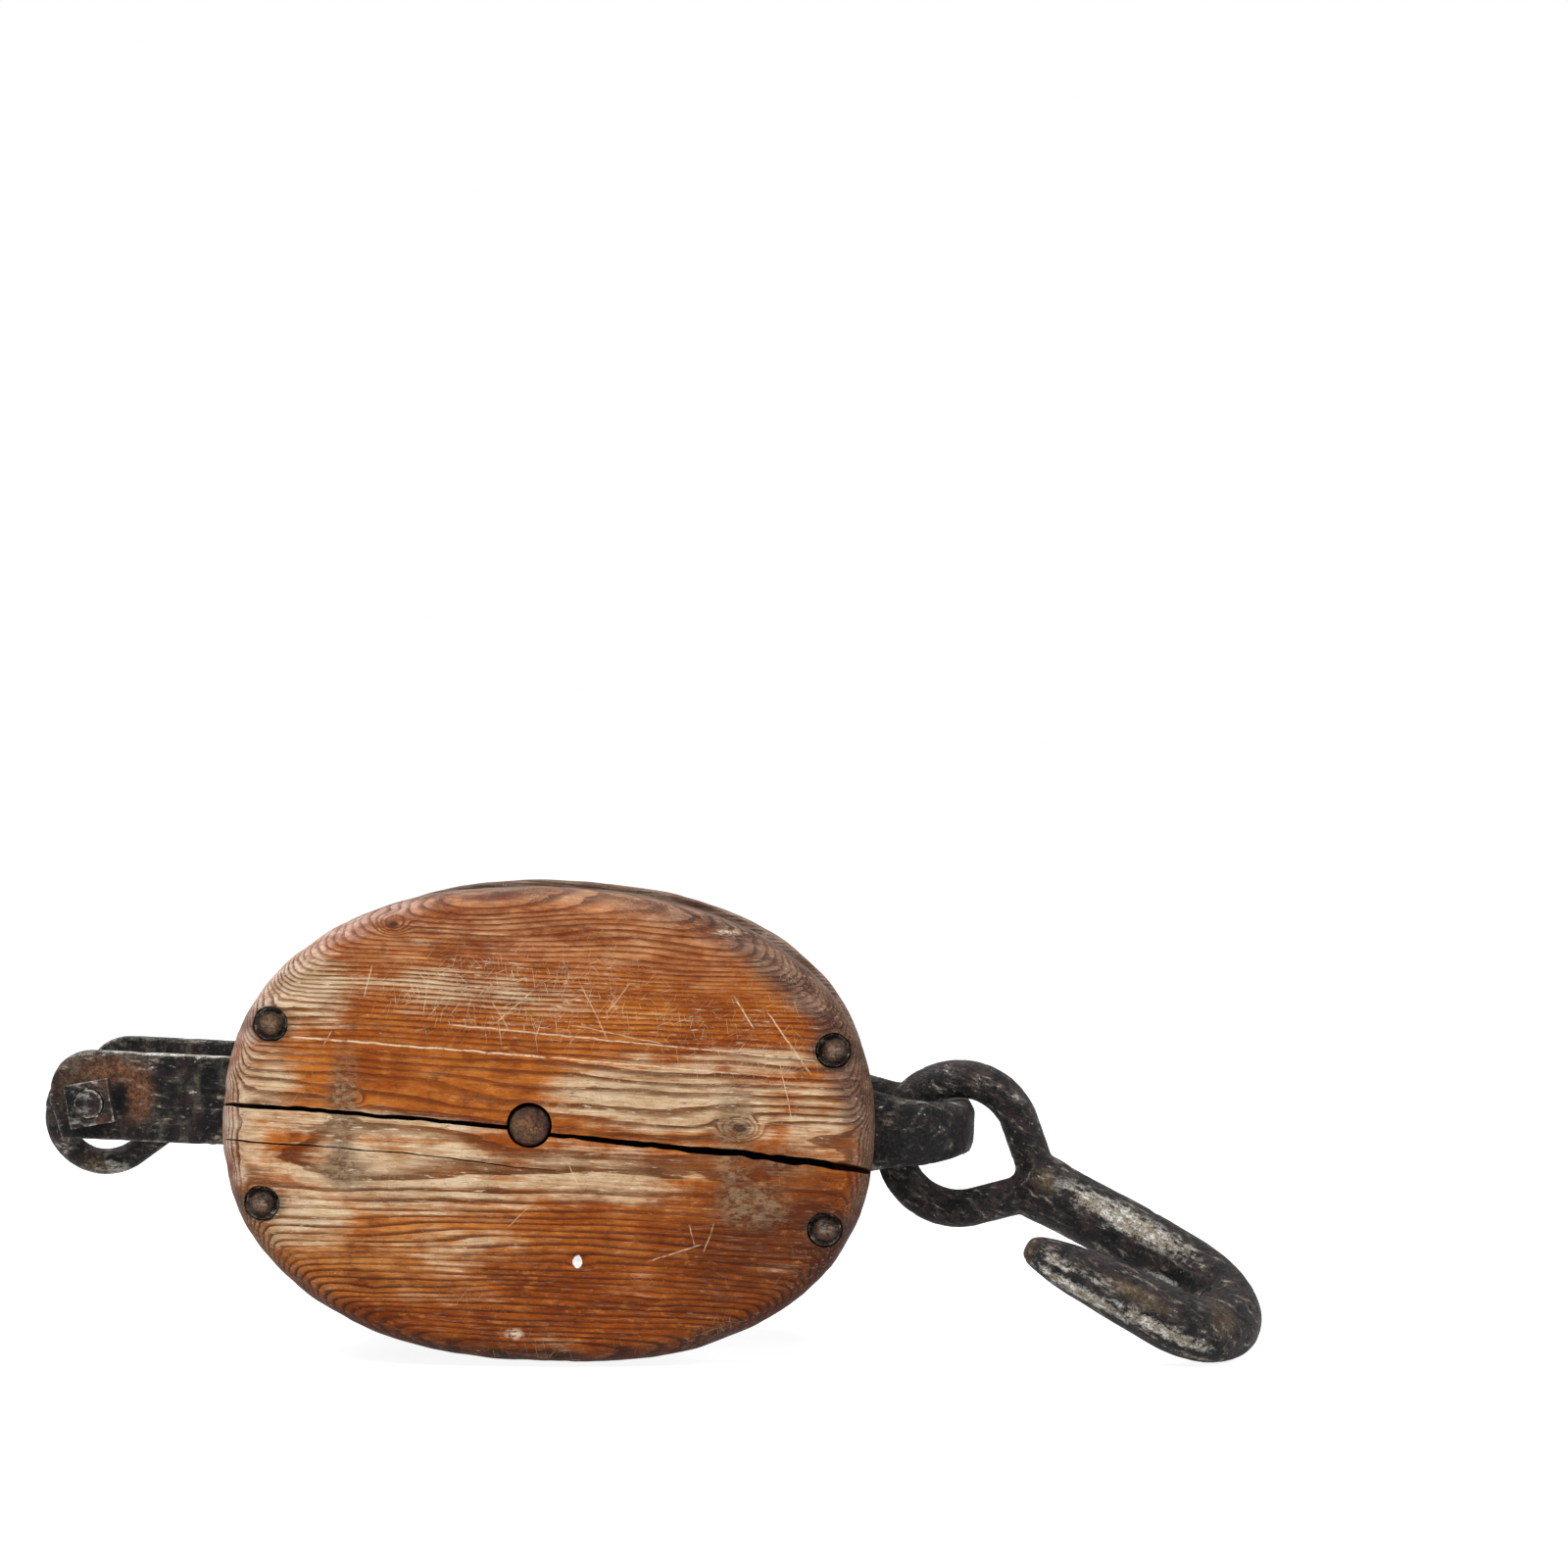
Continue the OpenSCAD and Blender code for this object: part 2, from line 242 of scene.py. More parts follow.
def sink(obj, depth):
    """Moves every point in along its normal by depth(points)."""
    co = co_of(obj.data)
    set_co(obj.data, co - normals_of(obj.data) * depth(co)[:, None])
    return obj


def join(obj, other):
    """One object from two, which a remesh then fuses."""
    both = np.concatenate([co_of(obj.data), co_of(other.data)])
    n = len(obj.data.vertices)
    faces = [tuple(p.vertices) for p in obj.data.polygons]
    faces += [tuple(v + n for v in p.vertices) for p in other.data.polygons]
    name = obj.name
    bpy.data.objects.remove(obj)
    bpy.data.objects.remove(other)
    return make_object(name, both, faces)


def cylinder(name, at, axis, r, length, n, wobble=0.0, seed=0):
    """Along a unit axis, from at, in row millimetres, with n sides; wobble roughens its radius."""
    axis = np.asarray(axis, float)
    slanted = [0.31, 0.2, 0.93]  # any direction that no axis here has
    u = np.cross(axis, slanted)
    u /= np.linalg.norm(u)
    v = np.cross(axis, u)
    t = np.arange(n) * 2 * math.pi / n
    rr = np.full(n, float(r))
    if wobble:
        rr = rr + wobble * noise(np.stack([np.cos(t), np.sin(t), t * 0], -1), 0.45, seed)
    ring = rr[:, None] * (np.cos(t)[:, None] * u + np.sin(t)[:, None] * v)
    at = np.asarray(at, float)
    return skin(name, [at + ring, at + ring + axis * length])


def oval(n):
    """n points evenly spaced round the outline, as shares of HALF_LEN and of HALF_H."""
    t = np.linspace(0, 2 * math.pi, 4001)
    k = 2 / OVAL_N
    x = HALF_LEN * np.sign(np.cos(t)) * np.abs(np.cos(t)) ** k
    z = HALF_H * np.sign(np.sin(t)) * np.abs(np.sin(t)) ** k
    s = np.concatenate([[0], np.cumsum(np.hypot(np.diff(x), np.diff(z)))])
    want = np.linspace(0, s[-1], n, endpoint=False)
    return np.interp(want, s, x) / HALF_LEN, np.interp(want, s, z) / HALF_H


def radial(p):
    """0 at the middle of the oval, 1 on its outline."""
    total = np.abs(p[:, 0] / HALF_LEN) ** OVAL_N + np.abs(p[:, 2] / HALF_H) ** OVAL_N
    return total ** (1 / OVAL_N)


# ---- materials
class Maker:
    """Short calls for building a material's nodes. Each node is made after those that feed it,
    because Cycles works in that order and runs out of room for a big material otherwise."""

    def __init__(self, name, rear=False, shift=0.0):
        """rear turns the block half round, so that its rear face takes the front's place."""
        self.shift = (shift, 0.7 * shift, 1.3 * shift)
        self.mat = bpy.data.materials.new(name)
        self.mat.use_nodes = True
        self.tree = self.mat.node_tree
        self.bsdf = self.tree.nodes["Principled BSDF"]
        self.row = self.mapping(self.node("TexCoord", {}, "Object"), scale=(1000, 1000, 1000))
        turn = np.array([[COS, 0, -SIN], [0, 1, 0], [SIN, 0, COS]])
        self.block = self.mapping(self.row, loc=tuple(-turn @ MIDDLE), rot=(0, -LEAN, 0))
        if rear:
            self.block = self.mapping(self.block, scale=(-1, -1, 1))

    def put(self, socket, value):
        """Links a node's output, or sets a plain value."""
        if isinstance(value, bpy.types.NodeSocket):
            self.tree.links.new(value, socket)
        elif value is not None:
            if socket.type == "RGBA" and len(value) == 3:
                value = (*value, 1.0)
            socket.default_value = value

    def node(self, kind, inputs, out=0, **settings):
        """An output of a new node with those settings and inputs."""
        n = self.tree.nodes.new("ShaderNode" + kind)
        for name, value in settings.items():
            setattr(n, name, value)
        for name, value in inputs.items():
            self.put(n.inputs[name], value)
        return n.outputs[out]

    def mapping(self, vec, loc=(0, 0, 0), rot=(0, 0, 0), scale=(1, 1, 1)):
        return self.node("Mapping", {"Vector": vec, "Location": loc, "Rotation": rot, "Scale": scale})

    def noise(self, vec, size, detail, rough=0.55, twist=0.0, stretch=(1, 1, 1)):
        """0..1, features of about that size in mm, times stretch along each axis."""
        at = self.mapping(vec, loc=self.shift, scale=tuple(1 / (size * s) for s in stretch))
        return self.node("TexNoise", {"Vector": at, "Scale": 1.0, "Detail": detail,
                                      "Roughness": rough, "Distortion": twist}, "Fac")

    def cells(self, vec, size):
        """The distance to the nearest of points scattered about size mm apart."""
        at = self.mapping(vec, scale=(1 / size, 1 / size, 1 / size))
        return self.node("TexVoronoi", {"Vector": at, "Scale": 1.0}, "Distance")

    def split(self, vec):
        n = self.tree.nodes.new("ShaderNodeSeparateXYZ")
        self.put(n.inputs[0], vec)
        return tuple(n.outputs)

    def math(self, op, a, b=None):
        return self.node("Math", {0: a, 1: b}, operation=op)

    def add(self, *v):
        out = v[0]
        for x in v[1:]:
            out = self.math("ADD", out, x)
        return out

    def mul(self, *v):
        out = v[0]
        for x in v[1:]:
            out = self.math("MULTIPLY", out, x)
        return out

    def top(self, a, b):
        return self.math("MAXIMUM", a, b)

    def swing(self, x, much):
        """x, which runs from 0 to 1, as a swing about 0."""
        return self.mul(self.math("SUBTRACT", x, 0.5), much)

    def step(self, x, a, b, lo=0.0, hi=1.0):
        """Smoothly from lo to hi as x runs from a to b."""
        if a > b:
            a, b, lo, hi = b, a, hi, lo
        return self.node("MapRange", {0: x, 1: a, 2: b, 3: lo, 4: hi}, interpolation_type="SMOOTHSTEP")

    def mix(self, fac, a, b, mode="MIX"):
        return self.node("Mix", {0: fac, 6: a, 7: b}, 2, data_type="RGBA", blend_type=mode)

    def tones(self, x, a, b, first, last):
        """From the first colour to the last as x runs from a to b."""
        return self.mix(self.step(x, a, b), srgb(*first), srgb(*last))

    def dot(self, vec, axis, less):
        """How far vec lies along an axis, past a distance."""
        along = self.node("VectorMath", {0: vec, 1: tuple(axis)}, "Value", operation="DOT_PRODUCT")
        return self.math("SUBTRACT", along, float(less))

    def local(self, origin, *axes):
        """Coordinates in row millimetres from an origin along three axes."""
        places = [self.dot(self.row, a, np.dot(a, origin)) for a in axes]
        return self.node("CombineXYZ", dict(enumerate(places)))

    def blob(self, at, radii, soft, vec=None):
        """1 near a place, fading to 0 at the radii, from a share soft of them on; in block
        millimetres unless vec says otherwise."""
        scale = tuple(1 / r for r in radii)
        shift = tuple(-a / r for a, r in zip(at, radii))
        moved = self.node("VectorMath", {0: vec or self.block, 1: scale, 2: shift},
                          operation="MULTIPLY_ADD")
        far = self.node("VectorMath", {0: moved}, "Value", operation="LENGTH")
        return self.step(far, 1.0, soft)

    def line_between(self, a, b, width, wobble):
        """1 on a straight scratch between two places on the face, given in block x and z."""
        a, b = np.array(a, float), np.array(b, float)
        length = np.linalg.norm(b - a)
        c, s = (b - a) / length
        u = self.dot(self.block, (c, 0, s), a[0] * c + a[1] * s)
        w = self.add(self.dot(self.block, (-s, 0, c), a[1] * c - a[0] * s), wobble)
        across = self.step(self.math("ABSOLUTE", w), width, width * 0.3)
        return self.mul(across, self.step(u, 0, 3), self.step(u, length, length - 3))

    def bump(self, height, strength, distance):
        """A relief of that distance in mm."""
        return self.node("Bump", {"Strength": strength, "Distance": distance * MM, "Height": height},
                         "Normal")

    def edges(self):
        """About 0.5 on flat places, more along outer edges."""
        return self.node("NewGeometry", {}, "Pointiness")

    def done(self, color, rough, normal, metal=0.0, spec=0.5):
        for name, value in (("Base Color", color), ("Roughness", rough), ("Metallic", metal),
                            ("Specular IOR Level", spec), ("Normal", normal)):
            self.put(self.bsdf.inputs[name], value)
        return self.mat


def srgb(r, g, b):
    """A screen colour of 0 to 255 as the linear values that nodes take."""
    def lin(v):
        v /= 255
        return v / 12.92 if v < 0.04045 else ((v + 0.055) / 1.055) ** 2.4
    return (lin(r), lin(g), lin(b))


def grain(m, spacing, pith, knots=()):
    """Growth rings that are spacing mm wide: 0 in early wood, rising to 1 in the late wood. pith is
    its depth below the face and its height; a knot (x, z, reach, size) pushes the rings out round
    itself."""
    x, y, z = m.split(m.block)
    deep = m.math("SUBTRACT", FACE_OUT, m.math("ABSOLUTE", y))
    wave = m.noise(m.block, 40, detail=2, stretch=(5, 1, 1))
    fine = m.noise(m.block, 7, detail=3, stretch=(8, 1, 1))
    warp = m.add(m.swing(wave, 9.0), m.swing(fine, 1.5))
    dy = m.math("SUBTRACT", deep, pith[0])
    dz = m.math("SUBTRACT", m.math("SUBTRACT", z, pith[1]), m.mul(x, 0.012))
    r = m.add(m.math("SQRT", m.add(m.mul(dy, dy), m.mul(dz, dz))), warp)
    for kx, kz, reach, size in knots:
        r = m.add(r, m.mul(m.blob((kx, -FACE_OUT, kz), (reach, 40, reach * 0.62), 0.0), size))
    saw = m.math("FRACT", m.math("DIVIDE", r, spacing))
    return m.mul(m.step(saw, 0.40, 0.82), m.step(saw, 1.0, 0.95))


# where the varnish is worn through: block x and z, half sizes, how much
FRONT_WEAR = (
    (50, 13, 74, 24, 1.1), (104, 8, 26, 22, 0.75), (78, 30, 50, 7, 0.9), (-66, -2, 72, 9, 1.1),
    (-52, -21, 84, 23, 1.05), (20, -17, 56, 18, 1.0), (-113, 12, 24, 26, 0.8),
    (-98, 50, 36, 27, 1.0), (-34, 51, 74, 15, 0.62), (-96, -38, 40, 24, 0.85),
    (-50, -50, 74, 15, 0.42), (-40, 76, 60, 10, 0.3), (-116, -4, 14, 40, 0.8),
)
REAR_WEAR = (
    (-40, 6, 70, 24, 1.0), (70, -14, 60, 18, 0.9), (-90, 46, 44, 26, 0.8), (60, 52, 56, 15, 0.6),
    (108, 20, 24, 34, 0.7), (-20, -44, 60, 14, 0.45),
)
# knots: block x and z, how far the grain bends round them, and how much
FRONT_KNOTS = ((74, 3, 11, 5.5), (-76, 7, 8, 2.5), (-63, 75, 9, 4.0), (20, 92, 62, -3.2))
REAR_KNOTS = ((-38, -30, 12, 6.0), (88, 50, 9, 3.5), (20, 92, 62, -3.2))
# rough grey patches: block x and z, half sizes, how much
SCUFFS = (
    (-79, 2, 9, 34, 0.85), (72, 0, 11, 32, 0.8), (-77, -20, 14, 10, 0.8), (80, -26, 20, 13, 0.7),
    (92, -8, 20, 9, 0.5),
)
# straight pale scratches: from, to (block x and z), half width, strength
SCRATCHES = (
    ((-101, 30.2), (-1, 26.9), 0.55, 1.0), ((-1, 26.9), (74, 24.0), 0.4, 0.8),
    ((-41, 37.8), (104, 30.4), 0.45, 0.8), ((69, 54), (78, 41), 0.4, 0.9),
    ((82, 49), (101, 24), 0.4, 0.8), ((-7, 53), (-22, 39), 0.35, 0.8),
    ((-24, 48), (-16, 36), 0.3, 0.7), ((-48, 56), (-50, 40), 0.3, 0.6),
    ((10, 56), (22, 34), 0.3, 0.6), ((30, 58), (20, 44), 0.3, 0.6), ((88, 30), (94, 6), 0.3, 0.6),
    ((-70, 60), (-73, 46), 0.35, 0.7), ((-84, 34), (-88, 27), 0.35, 0.8),
    ((6, 40), (44, 34), 0.3, 0.6), ((40, -50), (62, -42), 0.4, 0.6),
    ((56, -34), (59, -44), 0.3, 0.6), ((66, -33), (62, -46), 0.3, 0.6),
    ((-5, -30), (-14, -40), 0.3, 0.5), ((8, -12), (14, -24), 0.3, 0.6),
)
# which way the fine short scratches run, in radians
HAIR_TURNS = (0.95, -0.75, 1.35, 0.45, -1.2, 1.75)
# bruises down to pale wood: block x and z, half sizes
PALE_BRUISES = ((-100, 46, 2.0, 1.4), (-9, -80, 5.0, 3.0), (66, 78, 10.0, 1.6))


def cheek_maker(name, knots, rear=False, shift=0.0):
    """A Maker with the fields that the cheeks' marks are made from."""
    m = Maker(name, rear, shift)
    m.x, y, m.z = m.split(m.block)
    m.deep = m.math("SUBTRACT", FACE_OUT, m.math("ABSOLUTE", y))
    late = grain(m, 1.32, (72.0, -9.0), knots)
    at = m.block
    m.streak = m.noise(at, 1.1, detail=5, rough=0.62, stretch=(34, 1, 1))
    m.fibre = m.noise(at, 0.42, detail=3, stretch=(38, 1, 1))
    m.cloud = m.noise(at, 24, detail=5, rough=0.62, stretch=(1.9, 1, 1))
    m.patch = m.noise(at, 8, detail=6, rough=0.68, stretch=(3.2, 1, 1))
    m.grit = m.noise(at, 1.5, detail=4, rough=0.7, stretch=(2.0, 1, 1))
    m.fleck = m.noise(at, 0.9, detail=4, rough=0.68, stretch=(7, 1, 1))
    along = m.math("POWER", m.math("ABSOLUTE", m.mul(m.x, 1 / HALF_LEN)), OVAL_N)
    above = m.math("POWER", m.math("ABSOLUTE", m.mul(m.z, 1 / HALF_H)), OVAL_N)
    # as radial() gives it
    m.rho = m.math("POWER", m.add(along, above), 1 / OVAL_N)
    faint = m.noise(at, 12, detail=3, stretch=(5, 1, 1))
    # the dark lines of the grain
    m.line = m.mul(late, m.step(faint, 0.22, 0.62, 0.45, 1.0))
    return m


def spot(m, x, z, half_x, half_z, through, soft):
    """A blob on the face that reaches through mm into the wood."""
    return m.blob((x, -FACE_OUT, z), (half_x, through, half_z), soft)


def varnish(m):
    """Orange, redder at the top, deep brown towards the bottom and the right."""
    patch = m.patch
    mixed = m.add(m.cloud, m.mul(patch, 0.5))
    color = m.tones(mixed, 0.58, 0.92, (146, 68, 6), (194, 112, 36))
    redder = m.mul(m.step(m.z, 48, 76), m.step(m.x, 96, 60), 0.75)
    color = m.mix(redder, color, m.tones(patch, 0.35, 0.65, (130, 68, 34), (204, 142, 98)))
    low = m.step(m.add(m.z, m.swing(m.cloud, 44), m.mul(m.x, -0.12)), -18, -70)
    brown = m.tones(patch, 0.36, 0.66, (112, 44, 0), (164, 78, 8))
    color = m.mix(m.mul(low, 0.85), color, brown)
    corner = m.mul(spot(m, 96, -38, 62, 44, 40, 0.2), 0.95)
    color = m.mix(corner, color, m.tones(patch, 0.36, 0.66, (76, 32, 8), (120, 58, 18)))
    golden = m.mul(spot(m, -70, -46, 74, 30, 40, 0.2), m.step(patch, 0.3, 0.6))
    color = m.mix(m.mul(golden, 0.8), color, srgb(208, 136, 66))
    blotch = m.noise(m.block, 5.5, detail=6, rough=0.7, stretch=(1.8, 1, 1))
    color = m.mix(m.mul(m.step(blotch, 0.52, 0.66), 0.5), color, srgb(92, 38, 6))
    color = m.mix(m.mul(m.step(blotch, 0.45, 0.34), 0.4), color, srgb(222, 140, 60))
    dark_line = m.mix(low, srgb(98, 38, 4), srgb(62, 22, 4))
    return m.mix(m.mul(m.line, 0.85), color, dark_line)


def bare(m):
    """Wood with its varnish gone."""
    mixed = m.add(m.patch, m.mul(m.streak, 0.5))
    color = m.tones(mixed, 0.50, 0.95, (172, 128, 86), (226, 198, 162))
    return m.mix(m.line, color, m.tones(m.patch, 0.4, 0.6, (92, 56, 26), (132, 78, 36)))


def worn_through(m, wear):
    """1 where the varnish is gone."""
    bands = 0.0
    for *where, much in wear:
        bands = m.top(bands, m.mul(spot(m, *where, 34, 0.12), much))
    broken = m.add(m.swing(m.cloud, 1.3), m.swing(m.streak, 1.6), m.swing(m.patch, 1.5))
    return m.step(m.add(bands, broken), 0.12, 0.92)


def rim(m, color):
    """Along the outline the wood is dark brown below and purple grey above; the pale tone at the
    becket end is a painted sheen. The sides are grey brown with dust, darkened as painted shade."""
    patch = m.patch
    uneven = m.add(m.swing(patch, 0.12), m.swing(m.cloud, 0.14))
    right = m.mul(m.step(m.x, 10, 90), m.step(m.z, -20, 30), 0.07)
    border = m.step(m.add(m.rho, uneven, right), 0.90, 0.995)
    upper = m.tones(patch, 0.36, 0.64, (70, 46, 38), (132, 102, 84))
    # painted sheen: the becket end's rounded rim is made pale and greyish, as where it catches the light
    painted_sheen_end = m.tones(patch, 0.36, 0.64, (180, 140, 120), (240, 216, 204))
    at_end = m.mul(m.step(m.x, -40, -84), m.step(m.z, 6, 40, 0.85, 1.0))
    upper = m.mix(at_end, upper, painted_sheen_end)
    lower = m.tones(patch, 0.36, 0.64, (54, 22, 16), (92, 48, 34))
    rim_tone_and_sheen = m.mix(m.step(m.z, -10, -46), upper, lower)
    rim_tone_and_sheen = m.mix(m.mul(m.step(m.fleck, 0.46, 0.34), 0.5), rim_tone_and_sheen, srgb(196, 158, 126))
    rim_tone_and_sheen = m.mix(m.mul(m.line, 0.75), rim_tone_and_sheen, srgb(46, 26, 20))
    across = m.step(m.add(m.x, m.mul(m.z, -0.7)), -60, 30, 0.66, 0.95)
    color = m.mix(m.mul(border, across), color, rim_tone_and_sheen)
    side = m.step(m.deep, 9.0, 15.0)
    # dust on the sides, darkened as painted shade
    dust_and_shade = m.tones(m.add(patch, m.cloud), 0.75, 1.25, (70, 48, 38), (134, 114, 98))
    dust_and_shade = m.mix(m.mul(m.line, 0.5), dust_and_shade, srgb(66, 46, 34))
    return m.mix(m.mul(side, 0.8), color, dust_and_shade)


def scuffed(m, color, scuffs):
    """Rough grey patches."""
    for *where, much in scuffs:
        zone = spot(m, *where, 24, 0.3)
        broken = m.step(m.add(m.mul(m.cloud, 0.5), m.mul(m.grit, 0.6)), 0.38, 0.58)
        grey = m.tones(m.grit, 0.40, 0.60, (74, 52, 34), (148, 120, 92))
        color = m.mix(m.mul(zone, broken, much), color, grey)
    return color


def rivet_stains(m, color):
    """A dark ring round each rivet, and a smear beside it."""
    for x, z in RIVETS:
        ring = spot(m, x, z, 12.5, 10.5, 24, 0.45)
        smear = spot(m, x + math.copysign(9, x), z, 14, 6.5, 24, 0.2)
        stain = m.top(ring, m.mul(smear, 0.8))
        stain = m.mul(stain, m.step(m.patch, 0.28, 0.52), 0.8)
        color = m.mix(stain, color, srgb(58, 42, 34))
    return color


def pores(m, color, worn):
    """Pores and dirt along the grain."""
    streak, fibre = m.streak, m.fibre
    color = m.mix(m.mul(m.step(streak, 0.60, 0.70), 0.55), color, srgb(66, 38, 20))
    dark = m.mul(m.step(fibre, 0.60, 0.72), m.step(worn, 0, 1, 0.25, 0.5))
    color = m.mix(dark, color, srgb(84, 54, 32))
    light = m.mul(m.step(fibre, 0.40, 0.28), m.step(worn, 0, 1, 0.12, 0.5))
    return m.mix(light, color, srgb(238, 214, 182))


def hairs(m):
    """1 on fine short scratches across the grain."""
    most = 0.0
    for turn in HAIR_TURNS:
        turned = m.mapping(m.block, rot=(0, turn, 0))
        hair = m.noise(turned, 1.0, detail=2, rough=0.5, stretch=(15 + 5 * turn, 6, 0.42))
        most = m.top(most, m.step(hair, 0.665, 0.70))
    return most


def scratched(m, color, scratches, fine, worn):
    """The long scratches, the fine ones in the upper half, and flecks where they are."""
    wobble = m.swing(m.noise(m.block, 9, detail=2), 1.4)
    gaps = m.step(m.noise(m.block, 2.2, detail=3), 0.36, 0.5, 0.35, 1.0)
    pale = 0.0
    for start, end, width, much in scratches:
        line = m.line_between(start, end, width, wobble)
        pale = m.top(pale, m.mul(line, gaps, much))
    spread = m.add(m.mul(spot(m, -15, 50, 80, 26, 30, 0.3), m.step(m.patch, 0.28, 0.5)),
                   m.mul(spot(m, 70, 36, 48, 26, 30, 0.3), 0.7),
                   m.mul(m.step(m.cloud, 0.45, 0.7), 0.35))
    pale = m.top(pale, m.math("MINIMUM", m.mul(fine, spread), 0.85))
    rubbed = m.top(worn, m.mul(spread, 0.75))
    dark_fleck = m.mul(m.step(m.fleck, 0.60, 0.70), m.step(rubbed, 0, 1, 0.45, 0.7))
    color = m.mix(dark_fleck, color, srgb(78, 44, 20))
    pale_fleck = m.mul(m.step(m.fleck, 0.42, 0.31), m.step(rubbed, 0, 1, 0.10, 0.75))
    color = m.mix(pale_fleck, color, srgb(246, 222, 190))
    return m.mix(m.mul(pale, 0.88), color, srgb(238, 208, 172))


def chipped(m, color, knots, white_chip):
    """Small chips in the varnish, pale bruises and the dark hearts of the knots."""
    small = m.noise(m.block, 2.2, detail=3, rough=0.6, stretch=(1.6, 1, 1))
    color = m.mix(m.mul(m.step(small, 0.745, 0.78), 0.7), color, srgb(214, 174, 132))
    if white_chip:
        ragged = m.add(spot(m, 14, -51, 3.4, 4.6, 8, 0.0), m.mul(m.grit, 0.5))
        color = m.mix(m.step(ragged, 0.66, 0.74), color, srgb(252, 248, 242))
    for where in PALE_BRUISES:
        bruise = m.mul(spot(m, *where, 12, 0.2), m.step(m.grit, 0.40, 0.56), 0.9)
        color = m.mix(bruise, color, srgb(236, 214, 184))
    for x, z, reach, much in knots:
        if much > 3:
            heart = spot(m, x, z, 0.36 * reach, 0.2 * reach, 30, 0.35)
            color = m.mix(m.mul(heart, 0.85), color, srgb(62, 42, 30))
    return color


def painted_shade_in_hollows(m, color):
    """The walls of the holes and cracks get a painted shade, near black."""
    inside = m.mul(m.step(m.deep, 1.2, 2.4), m.step(m.rho, 0.89, 0.86))
    return m.mix(m.mul(inside, 0.9), color, srgb(26, 18, 13))


def cheek_wood(name, wear, knots, scratches, scuffs=(), rear=False, shift=0.0):
    """Softwood with worn varnish. Each kind of mark is laid over the colour so far."""
    m = cheek_maker(name, knots, rear, shift)
    sound, worn_off = varnish(m), bare(m)
    worn = worn_through(m, wear)
    color = rim(m, m.mix(worn, sound, worn_off))
    color = rivet_stains(m, scuffed(m, color, scuffs))
    color = pores(m, color, worn)
    fine = hairs(m)
    color = scratched(m, color, scratches, fine, worn)
    # painted shade on the walls of the holes and cracks
    color = painted_shade_in_hollows(m, chipped(m, color, knots, white_chip=not rear))
    height = m.add(m.mul(m.line, m.step(worn, 0, 1, 0.35, 0.9)), m.mul(m.streak, 0.9),
                   m.mul(m.fleck, 1.2), m.mul(fine, -0.5), m.mul(m.patch, 0.9), m.mul(m.grit, 0.35))
    rough = m.add(m.mul(worn, 0.18), 0.27, m.mul(m.patch, 0.14), m.mul(m.grit, 0.08))
    return m.done(color, rough, normal=m.bump(height, 0.75, 0.6), spec=0.12)


def dark_wood(name, tint, dust):
    """The wood inside: a dark tint, with dust on its edges and in patches."""
    m = Maker(name)
    late = grain(m, 2.0, (-60.0, -150.0))
    streak = m.noise(m.block, 1.4, detail=5, rough=0.62, stretch=(26, 1, 1))
    patch = m.noise(m.block, 14, detail=5, rough=0.65)
    color = m.mix(m.step(patch, 0.3, 0.7), tint, tuple(c * 1.9 for c in tint))
    color = m.mix(m.mul(late, 0.6), color, tuple(c * 0.5 for c in tint))
    color = m.mix(m.mul(m.step(streak, 0.55, 0.72), 0.6), color, tuple(c * 0.35 for c in tint))
    color = m.mix(m.mul(m.step(patch, 0.55, 0.75), 0.45), color, dust)
    color = m.mix(m.mul(m.step(m.edges(), 0.52, 0.60), 0.6), color, dust)
    height = m.add(streak, m.mul(late, 0.5), patch)
    return m.done(color, m.add(0.55, m.mul(patch, 0.3)), normal=m.bump(height, 0.5, 0.5), spec=0.25)


